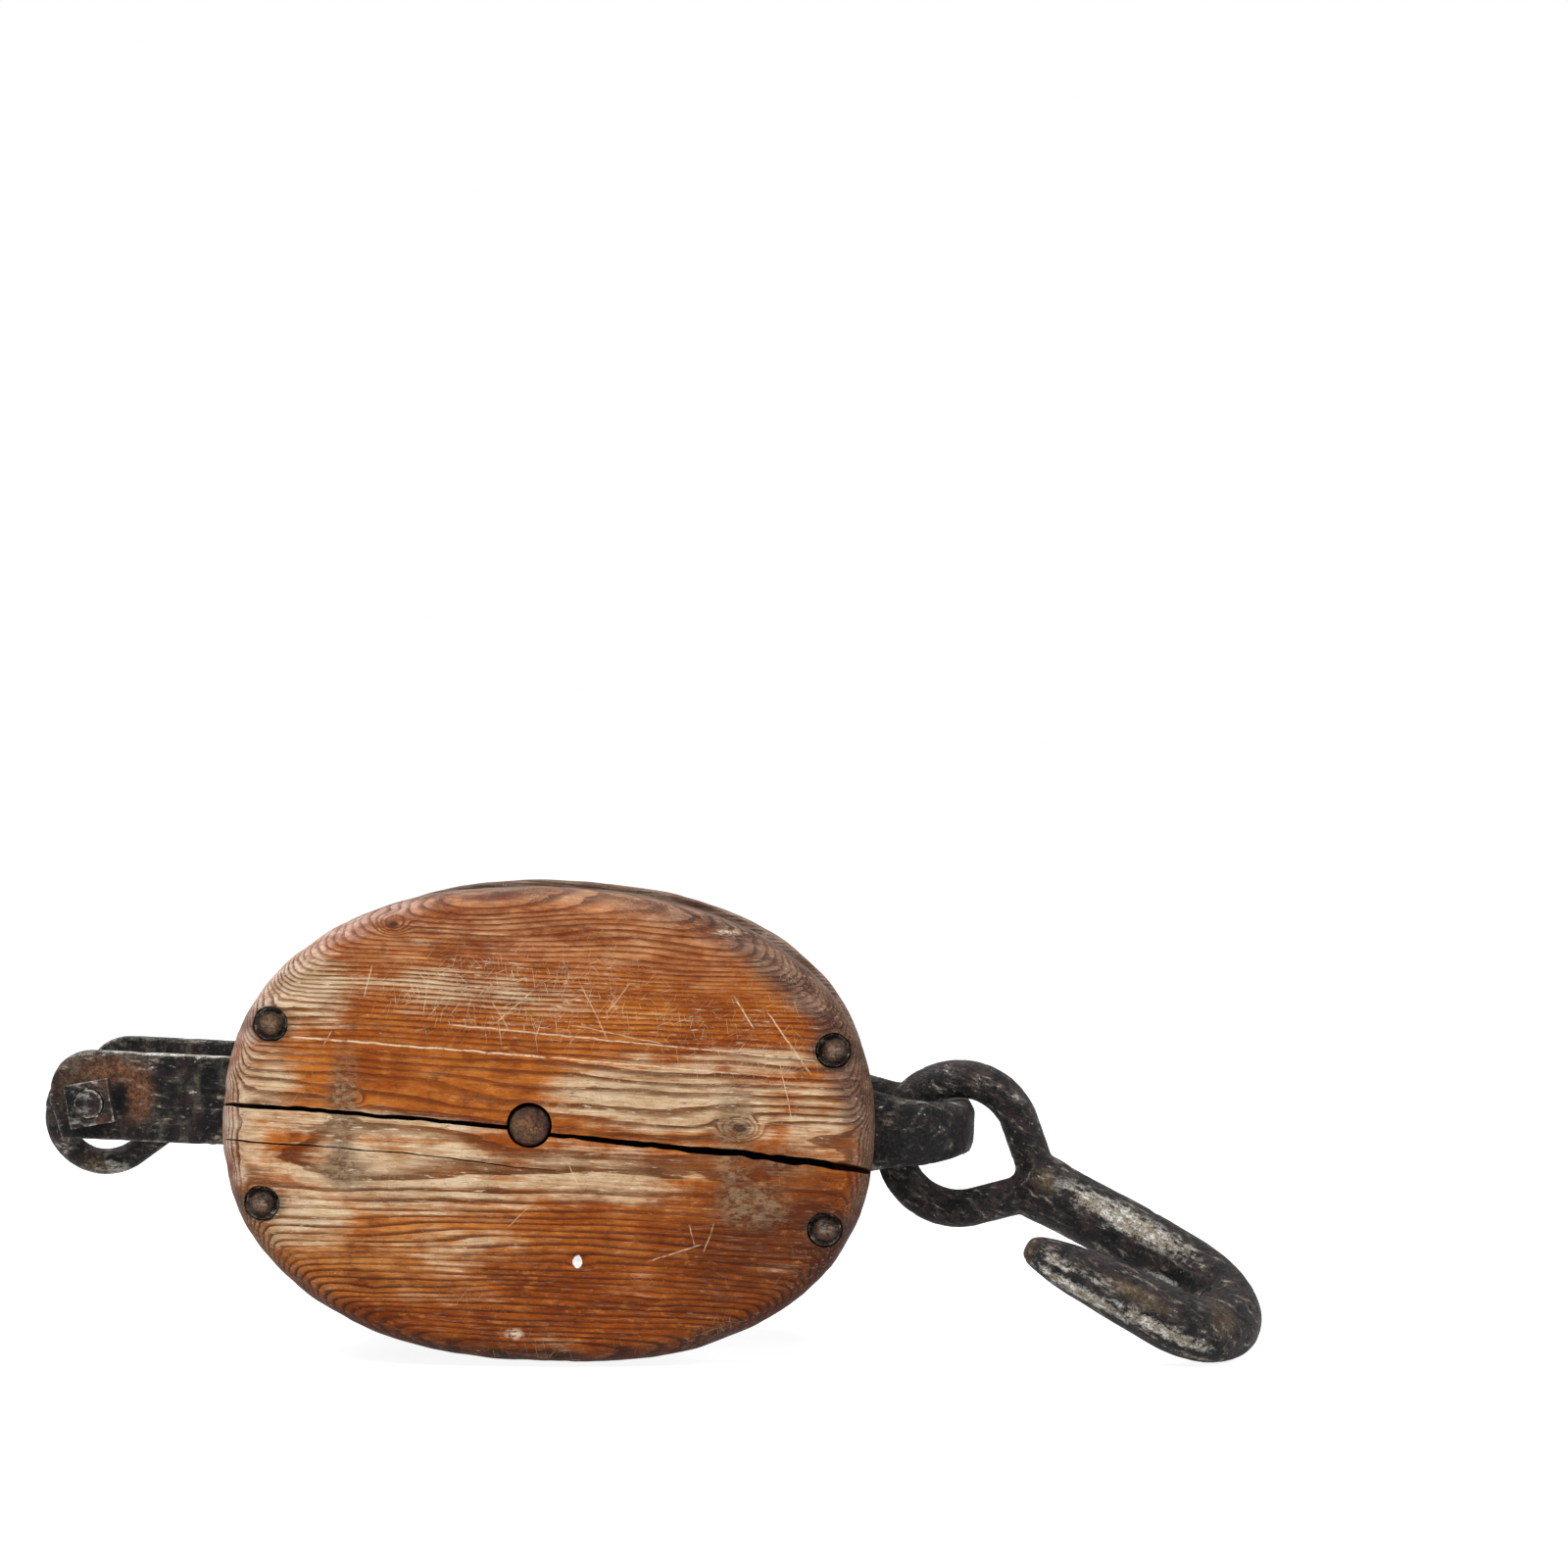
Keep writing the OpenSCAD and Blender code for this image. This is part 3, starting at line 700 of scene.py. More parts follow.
def iron(name, axes=None, fold=False, painted_highlights=(), tan=(), rust=(), dark=(), base=1.0, rough=0.28,
         bands=0.0, worn=0.6):
    """Forged iron. The highlight places, tan, rust and dark are places (middle, radii, amount) in block
    millimetres or, given an origin and axes, along those; the highlight places are painted highlights, and some
    dark places are a painted shadow; fold repeats them in all eight corners of the block; bands mottles the
    strap's tails;
    base darkens everything; worn makes the rubbed edges bright."""
    m = Maker(name)
    vec = m.local(*axes) if axes else m.block
    if fold:
        vec = m.node("VectorMath", {0: vec}, operation="ABSOLUTE")
    cloud = m.noise(m.row, 13, detail=6, rough=0.62)
    patch = m.noise(m.row, 4.2, detail=7, rough=0.74, twist=0.5)
    speck = m.noise(m.row, 1.9, detail=6, rough=0.72)
    flake = m.noise(vec, 2.3, detail=6, rough=0.76, stretch=(1.8, 1, 1))
    pits = m.cells(m.row, 1.5)
    grit = m.noise(m.row, 0.7, detail=4, rough=0.7)
    color = m.tones(cloud, 0.38, 0.62, (5, 5, 8), (26, 22, 23))
    brown = m.noise(m.row, 8, detail=5, rough=0.62)
    color = m.mix(m.mul(m.step(brown, 0.47, 0.60), 0.75), color, srgb(52, 34, 35))
    run = m.noise(vec, 3.2, detail=6, rough=0.7, stretch=(3.0, 1, 1))
    color = m.mix(m.mul(m.step(patch, 0.51, 0.60), 0.7), color, srgb(70, 62, 58))
    color = m.mix(m.mul(m.step(run, 0.53, 0.59), 0.7), color, srgb(92, 84, 78))
    color = m.mix(m.mul(m.step(run, 0.60, 0.64), m.step(speck, 0.40, 0.52), 0.9), color, srgb(176, 166, 148))
    color = m.mix(m.mul(m.step(speck, 0.60, 0.65), 0.6), color, srgb(126, 118, 106))
    if bands:
        tail = m.step(m.split(m.block)[0], -100, -124, 0.0, bands)
        stripe = m.noise(m.block, 13, detail=6, rough=0.64, stretch=(0.62, 1, 1.8))
        grey = m.mul(m.step(stripe, 0.50, 0.66), tail, m.step(speck, 0.3, 0.55))
        color = m.mix(grey, color, srgb(108, 106, 92))
        color = m.mix(m.mul(m.step(stripe, 0.48, 0.38), tail), color, srgb(8, 8, 14))
    color = m.mix(m.mul(m.step(grit, 0.56, 0.68), 0.6), color, srgb(10, 9, 10))
    # the rubbed edges and flakes are worn bare metal; the painted highlights are added to them below
    wear_and_highlight = m.mul(m.step(m.edges(), 0.51, 0.56), m.step(flake, 0.40, 0.56), worn)
    wear_and_highlight = m.top(wear_and_highlight, m.mul(m.step(flake, 0.63, 0.69), 0.85))
    # painted highlights: bright streaks and glints where the lamps catch the iron
    for at, radii, much in painted_highlights:
        zone = m.mul(m.blob(at, radii, 0.2, vec), much)
        wear_and_highlight = m.top(wear_and_highlight, m.mul(zone, m.step(m.add(flake, m.mul(zone, 0.15)), 0.53, 0.60)))
    wear_and_highlight = m.math("MINIMUM", m.mul(wear_and_highlight, m.step(grit, 0.64, 0.50)), 1.0)
    bright = m.tones(m.add(flake, m.mul(speck, 0.4)), 0.66, 0.84, (160, 150, 130), (255, 253, 248))
    color = m.mix(wear_and_highlight, color, bright)
    metal = m.top(m.mul(wear_and_highlight, 0.35), 0.12)
    gloss = m.add(rough, m.mul(grit, 0.18), m.mul(patch, 0.14))
    mottle = m.step(m.add(m.mul(grit, 0.5), m.mul(speck, 0.5)), 0.38, 0.62)
    ragged = m.step(m.add(m.mul(patch, 0.6), m.mul(cloud, 0.4)), 0.34, 0.58)
    for places, deep, pale in ((tan, srgb(84, 66, 48), srgb(170, 144, 104)),
                               (rust, srgb(74, 40, 28), srgb(176, 118, 78))):
        for at, radii, much in places:
            zone = m.mul(m.blob(at, radii, 0.1, vec), ragged, much)
            color = m.mix(zone, color, m.mix(mottle, deep, pale))
            metal = m.mul(metal, m.step(zone, 0, 1, 1.0, 0.3))
            gloss = m.top(gloss, m.mul(zone, 0.72))
    for at, radii, much in dark:
        black = m.mul(m.blob(at, radii, 0.3, vec), much, m.step(patch, 0.62, 0.5))
        color = m.mix(black, color, srgb(7, 7, 10))
    if base != 1.0:
        color = m.mix(1.0, color, (base, base, base), mode="MULTIPLY")
    height = m.add(m.mul(pits, 0.8), m.mul(grit, 0.9), m.mul(patch, 1.6), m.mul(flake, 1.2),
                   m.mul(speck, 0.8))
    return m.done(color, gloss, metal=metal, normal=m.bump(height, 0.95, 0.85), spec=0.32)


# ---- the cheeks
# radii of the pin's and the rivets' holes, radius and depth of the rivet heads' counterbores
PIN_HOLE_R, RIVET_HOLE_R, SINK_R, SINK_DEPTH = 8.75, 3.6, 6.95, 5.5
# the strap's groove, a little wider than the bar
GROOVE_HALF_W, GROOVE_DEPTH = STRAP_HALF_W + 0.3, 8.1
# places where the face is rough: middle x and z, half width, half height
ROUGH = ((-79, 2, 7, 26), (72, -4, 9, 28))
# bruises: block x and z, distance from the middle plane, radius, depth
DENTS = (
    (62, 80, 70, 5.0, 1.3), (73, 77, 69, 3.0, 1.1), (14, -51, 72, 2.6, 0.8),
    (-104, 46, 69, 4.5, 1.5), (-118, 24, 66, 3.6, 1.6), (-121, 8, 64, 3.0, 1.4),
    (-121, -22, 66, 4.0, 1.3), (118, 22, 66, 3.0, 1.3), (120, -26, 66, 3.4, 1.4),
    (-30, 90, 62, 6.0, 1.0), (30, 91, 55, 5.0, 0.9), (-66, 82, 66, 3.4, 0.9),
    (44, -66, 72, 3.0, 0.7), (-64, -64, 72, 4.0, 0.6), (95, 55, 68, 3.4, 1.0),
    (-90, -66, 66, 4.0, 1.1), (6, -90, 60, 6.0, 0.9), (70, -80, 64, 4.4, 1.0),
    (-14, 30, 72, 2.0, 0.5), (40, 40, 72, 2.4, 0.4),
)
# cracks: their path in block x and z, the widths along it, the depth
FRONT_CRACKS = (
    (((-130, 3.2), (-96, 2.6), (-60, 1.2), (-14, -0.6)), (2.2, 1.8, 1.6, 1.9), 15),
    (((-1, -2.6), (30, -4.6), (70, -6.6), (100, -9.0), (130, -11.4)), (1.6, 2.2, 2.6, 3.0, 3.2), 17),
    (((-130, -10.2), (-90, -11.4), (-52, -12.4), (-10, -16.0), (4, -16.8)), (0.8, 0.5, 0.45, 0.4, 0.15), 7),
)
REAR_CRACKS = (
    (((-130, -6.0), (-90, -5.0), (-30, -3.0), (-14, -1.6)), (2.0, 1.6, 1.0, 0.8), 14),
    (((60, 14.0), (96, 16.0), (130, 18.0)), (0.2, 0.7, 1.1), 8),
)


def blade(name, path, widths, side, depth, seed):
    """A wedge along a path on the cheek's face, to cut a crack: path is block x and z."""
    pts = np.array(path, float)
    n = max(24, int(np.linalg.norm(pts[-1] - pts[0]) / 1.5))
    at = np.linspace(0, 1, n)
    src = np.linspace(0, 1, len(pts))
    x, z = np.interp(at, src, pts[:, 0]), np.interp(at, src, pts[:, 1])
    w = np.interp(at, np.linspace(0, 1, len(widths)), widths)
    p3 = np.stack([x, x * 0, x * 0], -1)
    z = z + 0.45 * noise(p3, 11, seed) + 0.2 * noise(p3, 3.5, seed + 1)
    up = w / 2 * (1 + 0.35 * noise(p3, 4, seed + 2))
    down = w / 2 * (1 + 0.35 * noise(p3, 5, seed + 3))
    # above the face, just below it, and the bottom of the crack
    top, lip, bottom = side * (FACE_OUT + 2), side * (FACE_OUT - 0.8), side * (FACE_OUT - depth)
    rings = []
    for i in range(n):
        ring = [(x[i], top, z[i] + up[i] + 0.25), (x[i], lip, z[i] + up[i]),
                (x[i], bottom, z[i] + 0.12 - depth * 0.10), (x[i], bottom, z[i] - 0.12 - depth * 0.10),
                (x[i], lip, z[i] - down[i]), (x[i], top, z[i] - down[i] - 0.25)]
        rings.append(to_row(ring))
    return skin(name, rings)


def cheek_depth(side, seed):
    """How far the surface has sunk by weathering: more towards the outline and at the bruises."""
    def depth(row):
        p = to_block(row)
        q = p * (1, 0.6, 1)
        d = 0.30 + 0.30 * fbm(q, (46, 40, 26), 3, seed)
        d = d + 0.10 * fbm(q, (30, 3.0, 3.0), 2, seed + 5)
        edge = smooth(radial(p), 0.86, 0.99)
        d = d + edge * (0.45 + 0.55 * fbm(q, (18, 9, 9), 3, seed + 9))
        if side < 0:
            for x, z, wide, high in ROUGH:
                near = np.exp(-((p[:, 0] - x) / wide) ** 2 - ((p[:, 2] - z) / high) ** 2)
                d = d + near * (0.25 + 0.45 * fbm(q, (3.4, 9, 2.6), 2, seed + 12))
        for x, z, y, r, deep in DENTS:
            if side > 0:
                x, z = -x, z * 0.9
            far = np.sqrt(((p[:, 0] - x) / 2.2) ** 2 + (p[:, 2] - z) ** 2 + (np.abs(p[:, 1]) - y) ** 2)
            d = d + deep * np.exp(-((far / r) ** 2)) * (1 + 0.4 * noise(q, 3.0, seed + 3))
        return np.maximum(d, 0.02)
    return depth


def build_cheek(name, side, seed, cracks):
    """Nested ovals, weathered and then cut; side is -1 for the front, 1 for the rear."""
    ux, uz = oval(560)
    # the ovals' scale, inset in millimetres and distance from the middle plane
    rows = [(s, 0.0, FACE_IN) for s in (0.05, 0.35, 0.7, 0.93, 0.985)]
    rows += [(1, 1.2, FACE_IN + 0.1), (1, 0.4, FACE_IN + 0.7)]
    rows += [(1, 0, y) for y in np.arange(FACE_IN + 1.8, FACE_OUT - EDGE, 1.4)]
    for t in np.radians(np.linspace(0, 90, 13)):
        rows.append((1, EDGE * (1 - math.cos(t)) * 0.85, FACE_OUT - EDGE * (1 - math.sin(t))))
    rows += [(s, EDGE * 0.85, FACE_OUT) for s in np.linspace(0.985, 0.03, 64)]
    rings = []
    for scale, inset, y in rows:
        x, z = ux * (HALF_LEN - inset) * scale, uz * (HALF_H - inset) * scale
        rings.append(to_row(np.stack([x, np.full_like(x, side * y), z], -1)))
    obj = outward(skin(name, rings))
    sink(obj, cheek_depth(side, seed))

    out = (0.0, float(side), 0.0)
    low, high = STRAP_RISE - GROOVE_HALF_W, STRAP_RISE + GROOVE_HALF_W
    mouth, bottom = side * (FACE_IN - 4), side * (FACE_IN + GROOVE_DEPTH)
    ends = [to_row([(x, mouth, low), (x, mouth, high), (x, bottom, high), (x, bottom, low)])
            for x in (-140, 140)]
    cut(obj, skin("groove", ends))
    cut(obj, cylinder("pin_hole", to_row((PIN_X, mouth, 0.4)), out, PIN_HOLE_R, 40, 64, 0.12, seed))
    for k, (x, z) in enumerate(RIVETS, 1):
        cut(obj, cylinder("rivet_hole", to_row((x, mouth, z)), out, RIVET_HOLE_R, 40, 32))
        sink_at = to_row((x, side * (FACE_OUT - SINK_DEPTH), z))
        cut(obj, cylinder("sink", sink_at, out, SINK_R, 12, 56, 0.35, seed + k))
    for i, (path, widths, depth) in enumerate(cracks):
        cut(obj, blade("crack", path, widths, side, depth, seed + 20 + i))
    return shade(obj, 42)


# ---- forged iron
def tube(name, rows, closed=False, around=40, between=3):
    """A bar through rows of (middle, direction, direction, half sizes, corner), all in row mm.
    Corner 0 gives an ellipse, else a rectangle with that corner radius."""
    mid, u, v, size = (np.array(part, float) for part in zip(*rows))
    n = len(rows)

    def along(a, t):
        i = int(math.floor(t))
        f = t - i
        pick = (lambda k: a[k % n]) if closed else (lambda k: a[min(max(k, 0), n - 1)])
        p0, p1, p2, p3 = pick(i - 1), pick(i), pick(i + 1), pick(i + 2)
        return 0.5 * (2 * p1 + (p2 - p0) * f + (2 * p0 - 5 * p1 + 4 * p2 - p3) * f**2
                      + (3 * p1 - p0 - 3 * p2 + p3) * f**3)

    last = n if closed else n - 1
    ts = np.arange(0, last * between + (0 if closed else 1)) / between
    angle = np.arange(around) * 2 * math.pi / around
    rings = []
    for t in ts:
        c, uu, vv, s = along(mid, t), along(u, t), along(v, t), along(size, t)
        uu, vv = uu / np.linalg.norm(uu), vv / np.linalg.norm(vv)
        a, b, corner = s
        if corner > 0.05:
            sx, sy = np.sign(np.cos(angle)), np.sign(np.sin(angle))
            px = sx * (a - corner) + corner * np.cos(angle)
            py = sy * (b - corner) + corner * np.sin(angle)
        else:
            px, py = a * np.cos(angle), b * np.sin(angle)
        rings.append(c + px[:, None] * uu + py[:, None] * vv)
    return outward(skin(name, rings, closed))


def pear(at, u, v, big, small, reach, a, b):
    """Rows for tube() round a pear in the plane of u and v: an arc of radius big about at, and one of
    radius small that far along u. a and b are the bar's half sizes."""
    at, u, v = (np.asarray(q, float) for q in (at, u, v))
    w = np.cross(u, v)
    turn = math.acos((big - small) / reach)
    rows = []
    for arc, middle, r in ((np.linspace(-turn, turn, 11), at + reach * u, small),
                           (np.linspace(turn, 2 * math.pi - turn, 33), at, big)):
        for t in arc:
            n = math.cos(t) * u + math.sin(t) * v
            rows.append((middle + r * n, n, w, (a, b, 0)))
    return rows


def forged(obj, voxel, seed, deep=1.0):
    """Uneven and pitted, like hammered and rusted iron."""
    remesh(obj, voxel)

    def depth(p):
        d = 0.16 + 0.20 * fbm(p, 13.0, 3, seed) + 0.10 * fbm(p, 3.2, 2, seed + 4)
        pit = smooth(noise(p, 2.6, seed + 7), 0.35, 0.8) * 0.35
        return np.maximum((d + pit) * deep, 0.0)

    sink(obj, depth)
    return shade(obj)


def strap_row(s, x, y, n, w):
    """A cross-section of the strap on side s, y from the middle plane, with the normal n. The bar
    gets rounder past the shell; w says how far along it is."""
    half_w = STRAP_HALF_W - 5.5 * smooth(w, 112, 150)
    half_t = STRAP_HALF_T + 1.75 * smooth(w, HALF_LEN, 150)
    corner = 1.6 + 3.4 * smooth(w, 112, 148)
    turn = np.array([n[0] * COS, n[1], -n[0] * SIN])
    return (to_row((x, s * y, STRAP_RISE)), turn, UP, (half_t, half_w, corner))


def tail_row(s, u):
    """A cross-section a share u past the bolt: a round upper corner and a cut-off lower one."""
    above = STRAP_HALF_W * (1 - u**2.2) ** (1 / 2.2)
    below = STRAP_HALF_W * min(1.0, 0.12 + (1 - u) / 0.36)
    at = to_row((TAIL_X - u * TAIL_LEN, s * LEG_Y, STRAP_RISE + (above - below) / 2))
    return (at, np.array([0, s, 0]), UP, (STRAP_HALF_T, (above + below) / 2, 1.6))


def build_strap():
    """A hairpin from two mirrored halves: a tail, a leg and half of the crown."""
    halves = []
    bend_x = CROWN_X - BEND_R
    xs = [TAIL_X] + list(range(-172, 112, 12)) + [112, 116, 120, 124, 128, 132]
    for s in (-1, 1):
        rows = [tail_row(s, u) for u in (0.985, 0.93, 0.84, 0.76, 0.68, 0.52, 0.28)]
        rows += [strap_row(s, x, LEG_Y, (0, s), x) for x in xs]
        for k in range(11):
            t = math.radians(9 * k)
            rows.append(strap_row(s, bend_x + BEND_R * math.sin(t), LEG_Y - BEND_R * (1 - math.cos(t)),
                                  (math.sin(t), s * math.cos(t)), bend_x + 1.8 * k))
        halves.append(rows)
    obj = tube("strap_forged", halves[0] + halves[1][::-1], around=64, between=2)
    cut(obj, cylinder("bolt_hole", to_row((TAIL_X, -60, BOLT_RISE)), (0, 1, 0), 5.95, 120, 48))
    cut(obj, cylinder("pin_hole", to_row((PIN_X, -60, 0)), (0, 1, 0), 8.1, 120, 48))
    forged(obj, 0.95, 41)

    def corner(row):
        """Wears down the crown's lower outer corner."""
        p = to_block(row)
        low = np.clip((STRAP_RISE - 3 - p[:, 2]) / 9.0, 0, 1)
        far = np.clip((p[:, 0] - (CROWN_X - 16)) / 20.0, 0, 1)
        return 3.4 * (low * far) ** 1.4

    return sink(obj, corner)


# the hook: how far its shank hangs below level, and how far its bow is turned towards the front
DROOP, TWIST = math.radians(28.2), math.radians(68)
# along the shank, down from it, from the shank towards the point, and across the bow
ALONG = np.array([math.cos(DROOP), 0, -math.sin(DROOP)])
BELOW = np.array([-math.sin(DROOP), 0, -math.cos(DROOP)])
OUT = math.cos(TWIST) * BELOW + math.sin(TWIST) * np.array([0, -1.0, 0])
FLAT = np.cross(ALONG, OUT)
# the bow's distance from the eye, and its radius
BOW_U, BOW_R = 98.5, 25.0
# the shank: distance along it from the eye, half sizes in the bow's plane and across it
SHANK = (
    (29, 8.5, 13.0), (35, 10.5, 14), (40, 11.8, 13.8), (47, 12.6, 13.2), (56, 13, 13),
    (66, 13.4, 13), (76, 13.9, 13), (87, 14, 12.6),
)
# the point: distance along the shank, distance out from it, half sizes
POINT = (
    (88, 50.2, 13.2, 11.6), (78, 50.6, 12.4, 11), (68, 51, 11.4, 10.3), (59, 51.5, 10.3, 9.5),
    (51, 52, 9, 8.4), (45, 52.5, 7.5, 7.1), (41, 52.8, 6, 5.8), (38.5, 53, 4, 4),
    (37.6, 53, 1.8, 1.8),
)


def build_hook():
    rows = [(HOOK_AT + u * ALONG, -OUT, FLAT, (a, b, 0)) for u, a, b in SHANK]
    for k in range(15):
        t = math.radians(-90 + 180 * k / 14)
        n = math.cos(t) * ALONG + math.sin(t) * OUT
        rows.append((HOOK_AT + BOW_U * ALONG + BOW_R * OUT + BOW_R * n, n, FLAT,
                     (13.6 + 0.4 * math.cos(t), 12 + 0.2 * math.cos(t), 0)))
    rows += [(HOOK_AT + u * ALONG + v * OUT, OUT, FLAT, (a, b, 0)) for u, v, a, b in POINT]
    body = tube("hook_forged", rows, around=48)
    eye = tube("eye", pear(HOOK_AT, ALONG, -BELOW, 25.75, 11.25, 21.4, 7.75, 7.75), closed=True)
    return forged(join(body, eye), 0.9, 61, 1.1)


def build_ring():
    """The becket ring, hung by its round end with the narrow end towards the shell."""
    tilt = math.radians(9)
    at = BOLT_AT + np.array([-2.5, 0, -8.0])
    rows = pear(at, (math.cos(tilt), 0, math.sin(tilt)), (-math.sin(tilt), 0, math.cos(tilt)),
                19.6, 7.5, 26, 5.3, 5.7)
    return forged(tube("ring_forged", rows, closed=True), 0.6, 83)


def rough_copy(node, voxel, seed, deep):
    """A worn copy of a CAD node's shape, nowhere outside it."""
    source = frame["nodes"][node]
    mesh = source.data.copy()
    mesh.transform(source.matrix_world)
    obj = add_object(node + "_worn", mesh)
    remesh(obj, voxel)

    def depth(p):
        q = p / np.array([3.0, 1.0, 1.0])
        d = 0.12 + 0.22 * fbm(q, 9.0, 3, seed) + 0.10 * fbm(p, 2.4, 2, seed + 4)
        return np.maximum(d * deep, 0.01)

    sink(obj, depth)
    return shade(obj, 50)


# ---- assemble
def dress(obj, mat, body, slot, *nodes):
    """Gives a piece its material, and puts it in place of CAD nodes."""
    obj.data.materials.clear()
    obj.data.materials.append(mat)
    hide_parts(*nodes)
    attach(obj, body)


front_wood = cheek_wood("worn_varnish_front", FRONT_WEAR, FRONT_KNOTS, SCRATCHES, SCUFFS)
rear_wood = cheek_wood("worn_varnish_rear", REAR_WEAR, REAR_KNOTS, SCRATCHES[3:9], rear=True, shift=31.0)
front = build_cheek("front_cheek_worn", -1, 3, FRONT_CRACKS)
dress(front, front_wood, "block", "shell_wood", "front_cheek")
rear = build_cheek("rear_cheek_worn", 1, 31, REAR_CRACKS)
dress(rear, rear_wood, "block", "shell_wood", "rear_cheek")

strap_iron = iron(
    "strap_iron", bands=0.8,
    # painted highlights: a bright line along the tail's top edge and a glint on the crown
    painted_highlights=(((-150, -50, 20.4), (46, 9, 2.0), 2.2), ((150, -34, 14), (16, 10, 2.4), 0.8)),
    rust=(((-172, -50, 12), (20, 12, 9), 1.0), ((-161, -50, 3), (9, 12, 15), 1.0),
          ((-188, -50, 8), (12, 12, 14), 0.4)),
    # the first two dark places are a painted shadow right of and below the becket nut; the others are dark mottles
    # and a darker crown
    dark=(((-167, -50, 1), (5, 12, 11), 0.9), ((-180, -50, -12), (17, 12, 5), 0.9),
          ((-133, -50, 8), (7, 12, 9), 0.7), ((148, 0, 0), (44, 120, 22), 0.92)))
dress(build_strap(), strap_iron, "block", "forged_iron", "strap")

hook_iron = iron(
    "hook_iron", axes=(HOOK_AT, ALONG, OUT, FLAT),
    # painted highlights: the bright streaks on the shank, bow and point, and a glint on the eye
    painted_highlights=(((72, 9, -9), (44, 11, 6.0), 1.3), ((66, 60, 2.5), (34, 9, 4.4), 1.4),
           ((98, 61, -0.5), (34, 10, 4.2), 1.4), ((114, 58, 5.5), (20, 10, 1.8), 0.9),
           ((96, 12, 4), (12, 8, 3.0), 0.9), ((51, 58, -3), (12, 8, 3.4), 0.9),
           ((70, 58, -5), (16, 8, 3.0), 0.6), ((-17, 2, -30), (13, 9, 9), 1.0),
           ((20, 7, -24), (18, 8, 5), 0.6)),
    tan=(((8, 6, 32), (24, 10, 7), 1.0), ((40, 53, 0), (5, 8, 8), 0.8), ((116, 45, -8), (12, 14, 6), 0.7),
         ((36, 10, -8), (9, 8, 6), 0.5), ((0, 6, -24), (14, 9, 5), 0.7), ((84, 58, -7), (22, 10, 4), 0.5)))
dress(build_hook(), hook_iron, "hook", "forged_iron", "hook")
ring_iron = iron(
    # painted highlight low on the ring
    "ring_iron", painted_highlights=(((-178, 0, -30), (14, 20, 6), 0.8),), tan=(((-184, 0, -28), (9, 20, 8), 0.5),))
dress(build_ring(), ring_iron, "ring", "forged_iron", "becket_ring")

inner = dark_wood("inner_wood", srgb(70, 42, 26), srgb(116, 94, 76))
sheave = dark_wood("sheave_wood", srgb(60, 36, 24), srgb(120, 96, 76))
rivet_end = (RIVET_X, FACE_OUT, RIVET_Z)
fastener = iron(
    "fastener_iron", fold=True, rough=0.4, worn=0.9,
    # painted highlights on the rivet heads and the becket nut's face
    painted_highlights=((rivet_end, (4.6, 8, 4.6), 0.4), ((181, 63, 5), (8, 5, 6), 0.45)),
    rust=((rivet_end, (7, 8, 7), 0.5), ((172, 60, 8), (7, 8, 7), 0.4)),
    tan=((rivet_end, (8, 8, 8), 0.6),))
pin_iron = iron(
    "pin_iron", fold=True, base=0.8, rough=0.42,
    rust=(((7, FACE_OUT, 0), (12, 14, 12), 0.9),), tan=(((9, FACE_OUT, 0), (9, 14, 6), 0.6),))
bronze = Maker("bronze")
tarnish = bronze.noise(bronze.row, 4, detail=5)
bronze_mat = bronze.done(bronze.mix(bronze.step(tarnish, 0.35, 0.65), srgb(92, 68, 34), srgb(150, 112, 60)),
                         bronze.add(0.32, bronze.mul(tarnish, 0.3)), metal=0.9,
                         normal=bronze.bump(tarnish, 0.3, 0.2))
by_slot = {"inner_wood": inner, "sheave_wood": sheave, "fastener_iron": fastener, "pin_iron": pin_iron,
           "bushing_bronze": bronze_mat, "shell_wood": front_wood, "forged_iron": strap_iron}
slot_of = {sub["node"]: sub["material_slot"] for sub in frame["record"]["subparts"]}
for name, slot in slot_of.items():
    node = frame["nodes"][name]
    node.data.materials.clear()
    node.data.materials.append(by_slot[slot])

# pieces replaced by worn copies of themselves: voxel size in mm, and how deep the wear is
WORN_COPIES = (
    ("becket_nut", 0.45, 1.6), ("becket_bolt", 0.6, 1.2), ("sheave_pin", 0.7, 1.0),
    ("shell_rivets", 0.55, 0.9), ("front_rivet_washers", 0.4, 0.8),
    ("rear_rivet_washers", 0.4, 0.8), ("center_partition", 1.3, 1.6),
    ("front_becket_spacer", 1.1, 1.6), ("rear_becket_spacer", 1.1, 1.6),
    ("front_hook_spacer", 1.1, 1.6), ("rear_hook_spacer", 1.1, 1.6),
)
for i, (node, voxel, deep) in enumerate(WORN_COPIES):
    slot = slot_of[node]
    dress(rough_copy(node, voxel, 101 + 7 * i, deep), by_slot[slot], "block", slot, node)

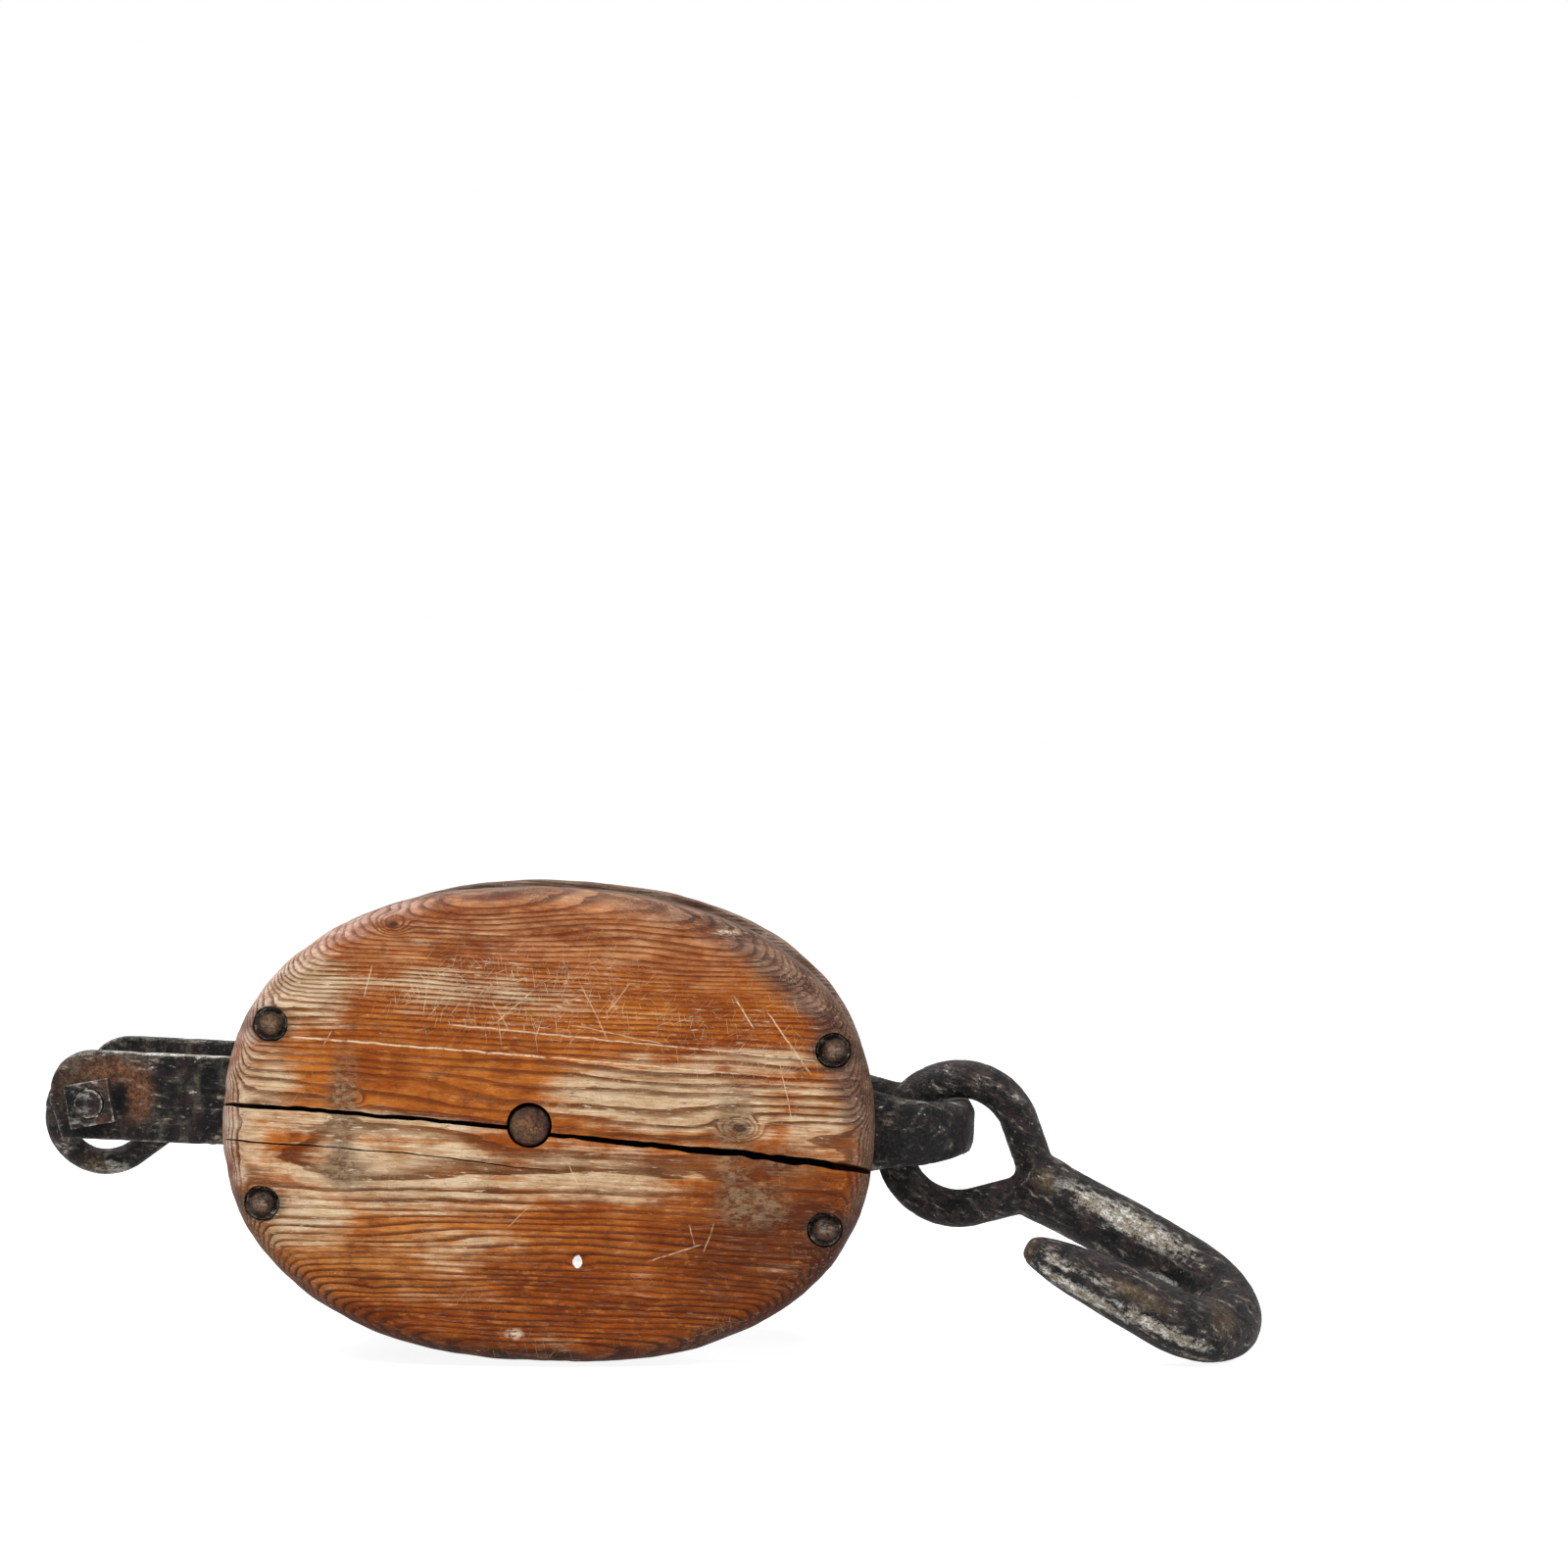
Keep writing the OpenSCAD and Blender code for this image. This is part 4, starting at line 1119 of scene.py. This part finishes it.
# ---- floor and light
def brighter_to_camera(tree, strength, others, camera):
    """Gives a light's strength one value for the camera's own rays, another for all the rest."""
    seen = tree.nodes.new("ShaderNodeLightPath").outputs["Is Camera Ray"]
    level = tree.nodes.new("ShaderNodeMapRange")
    level.inputs["To Min"].default_value = others
    level.inputs["To Max"].default_value = camera
    tree.links.new(seen, level.inputs["Value"])
    tree.links.new(level.outputs["Result"], strength)


def area(name, at, aim, size, power):
    """A rectangular light; metres and watts."""
    data = bpy.data.lights.new(name, "AREA")
    data.shape = "RECTANGLE"
    data.size, data.size_y = size
    data.energy = power
    obj = add_object(name, data)
    obj.location = at
    obj.rotation_euler = (Vector(aim) - Vector(at)).to_track_quat("-Z", "Y").to_euler()


floor = make_object("floor", [(-9000, -5000, -0.4), (9000, -5000, -0.4), (9000, 13000, -0.4),
                              (-9000, 13000, -0.4)], [(0, 1, 2, 3)])
floor_mat = bpy.data.materials.new("floor_white")
floor_mat.use_nodes = True
surface = floor_mat.node_tree.nodes["Principled BSDF"]
for name, value in (("Base Color", (0.4, 0.4, 0.4, 1)), ("Roughness", 0.9),
                    ("Specular IOR Level", 0.0), ("Emission Color", (1, 1, 1, 1))):
    surface.inputs[name].default_value = value
brighter_to_camera(floor_mat.node_tree, surface.inputs["Emission Strength"], 0.30, 0.9)
floor.data.materials.append(floor_mat)

world = bpy.data.worlds.new("studio")
bpy.context.scene.world = world
world.use_nodes = True
background = world.node_tree.nodes["Background"]
background.inputs["Color"].default_value = (1, 1, 1, 1)
brighter_to_camera(world.node_tree, background.inputs["Strength"], 0.36, 1.0)
bpy.context.scene.view_settings.view_transform = "Standard"

area("key", (-0.5, -1.3, 1.5), (0, 0, 0.08), (0.8, 0.6), 25)
area("top", (0.3, 0.1, 1.3), (0, 0, 0.05), (1.2, 0.5), 9)
area("side", (1.5, -0.6, 0.9), (0.1, 0, 0.1), (0.4, 0.5), 8)
area("back", (-0.9, 0.9, 1.2), (0, 0, 0.1), (1.0, 0.7), 14)
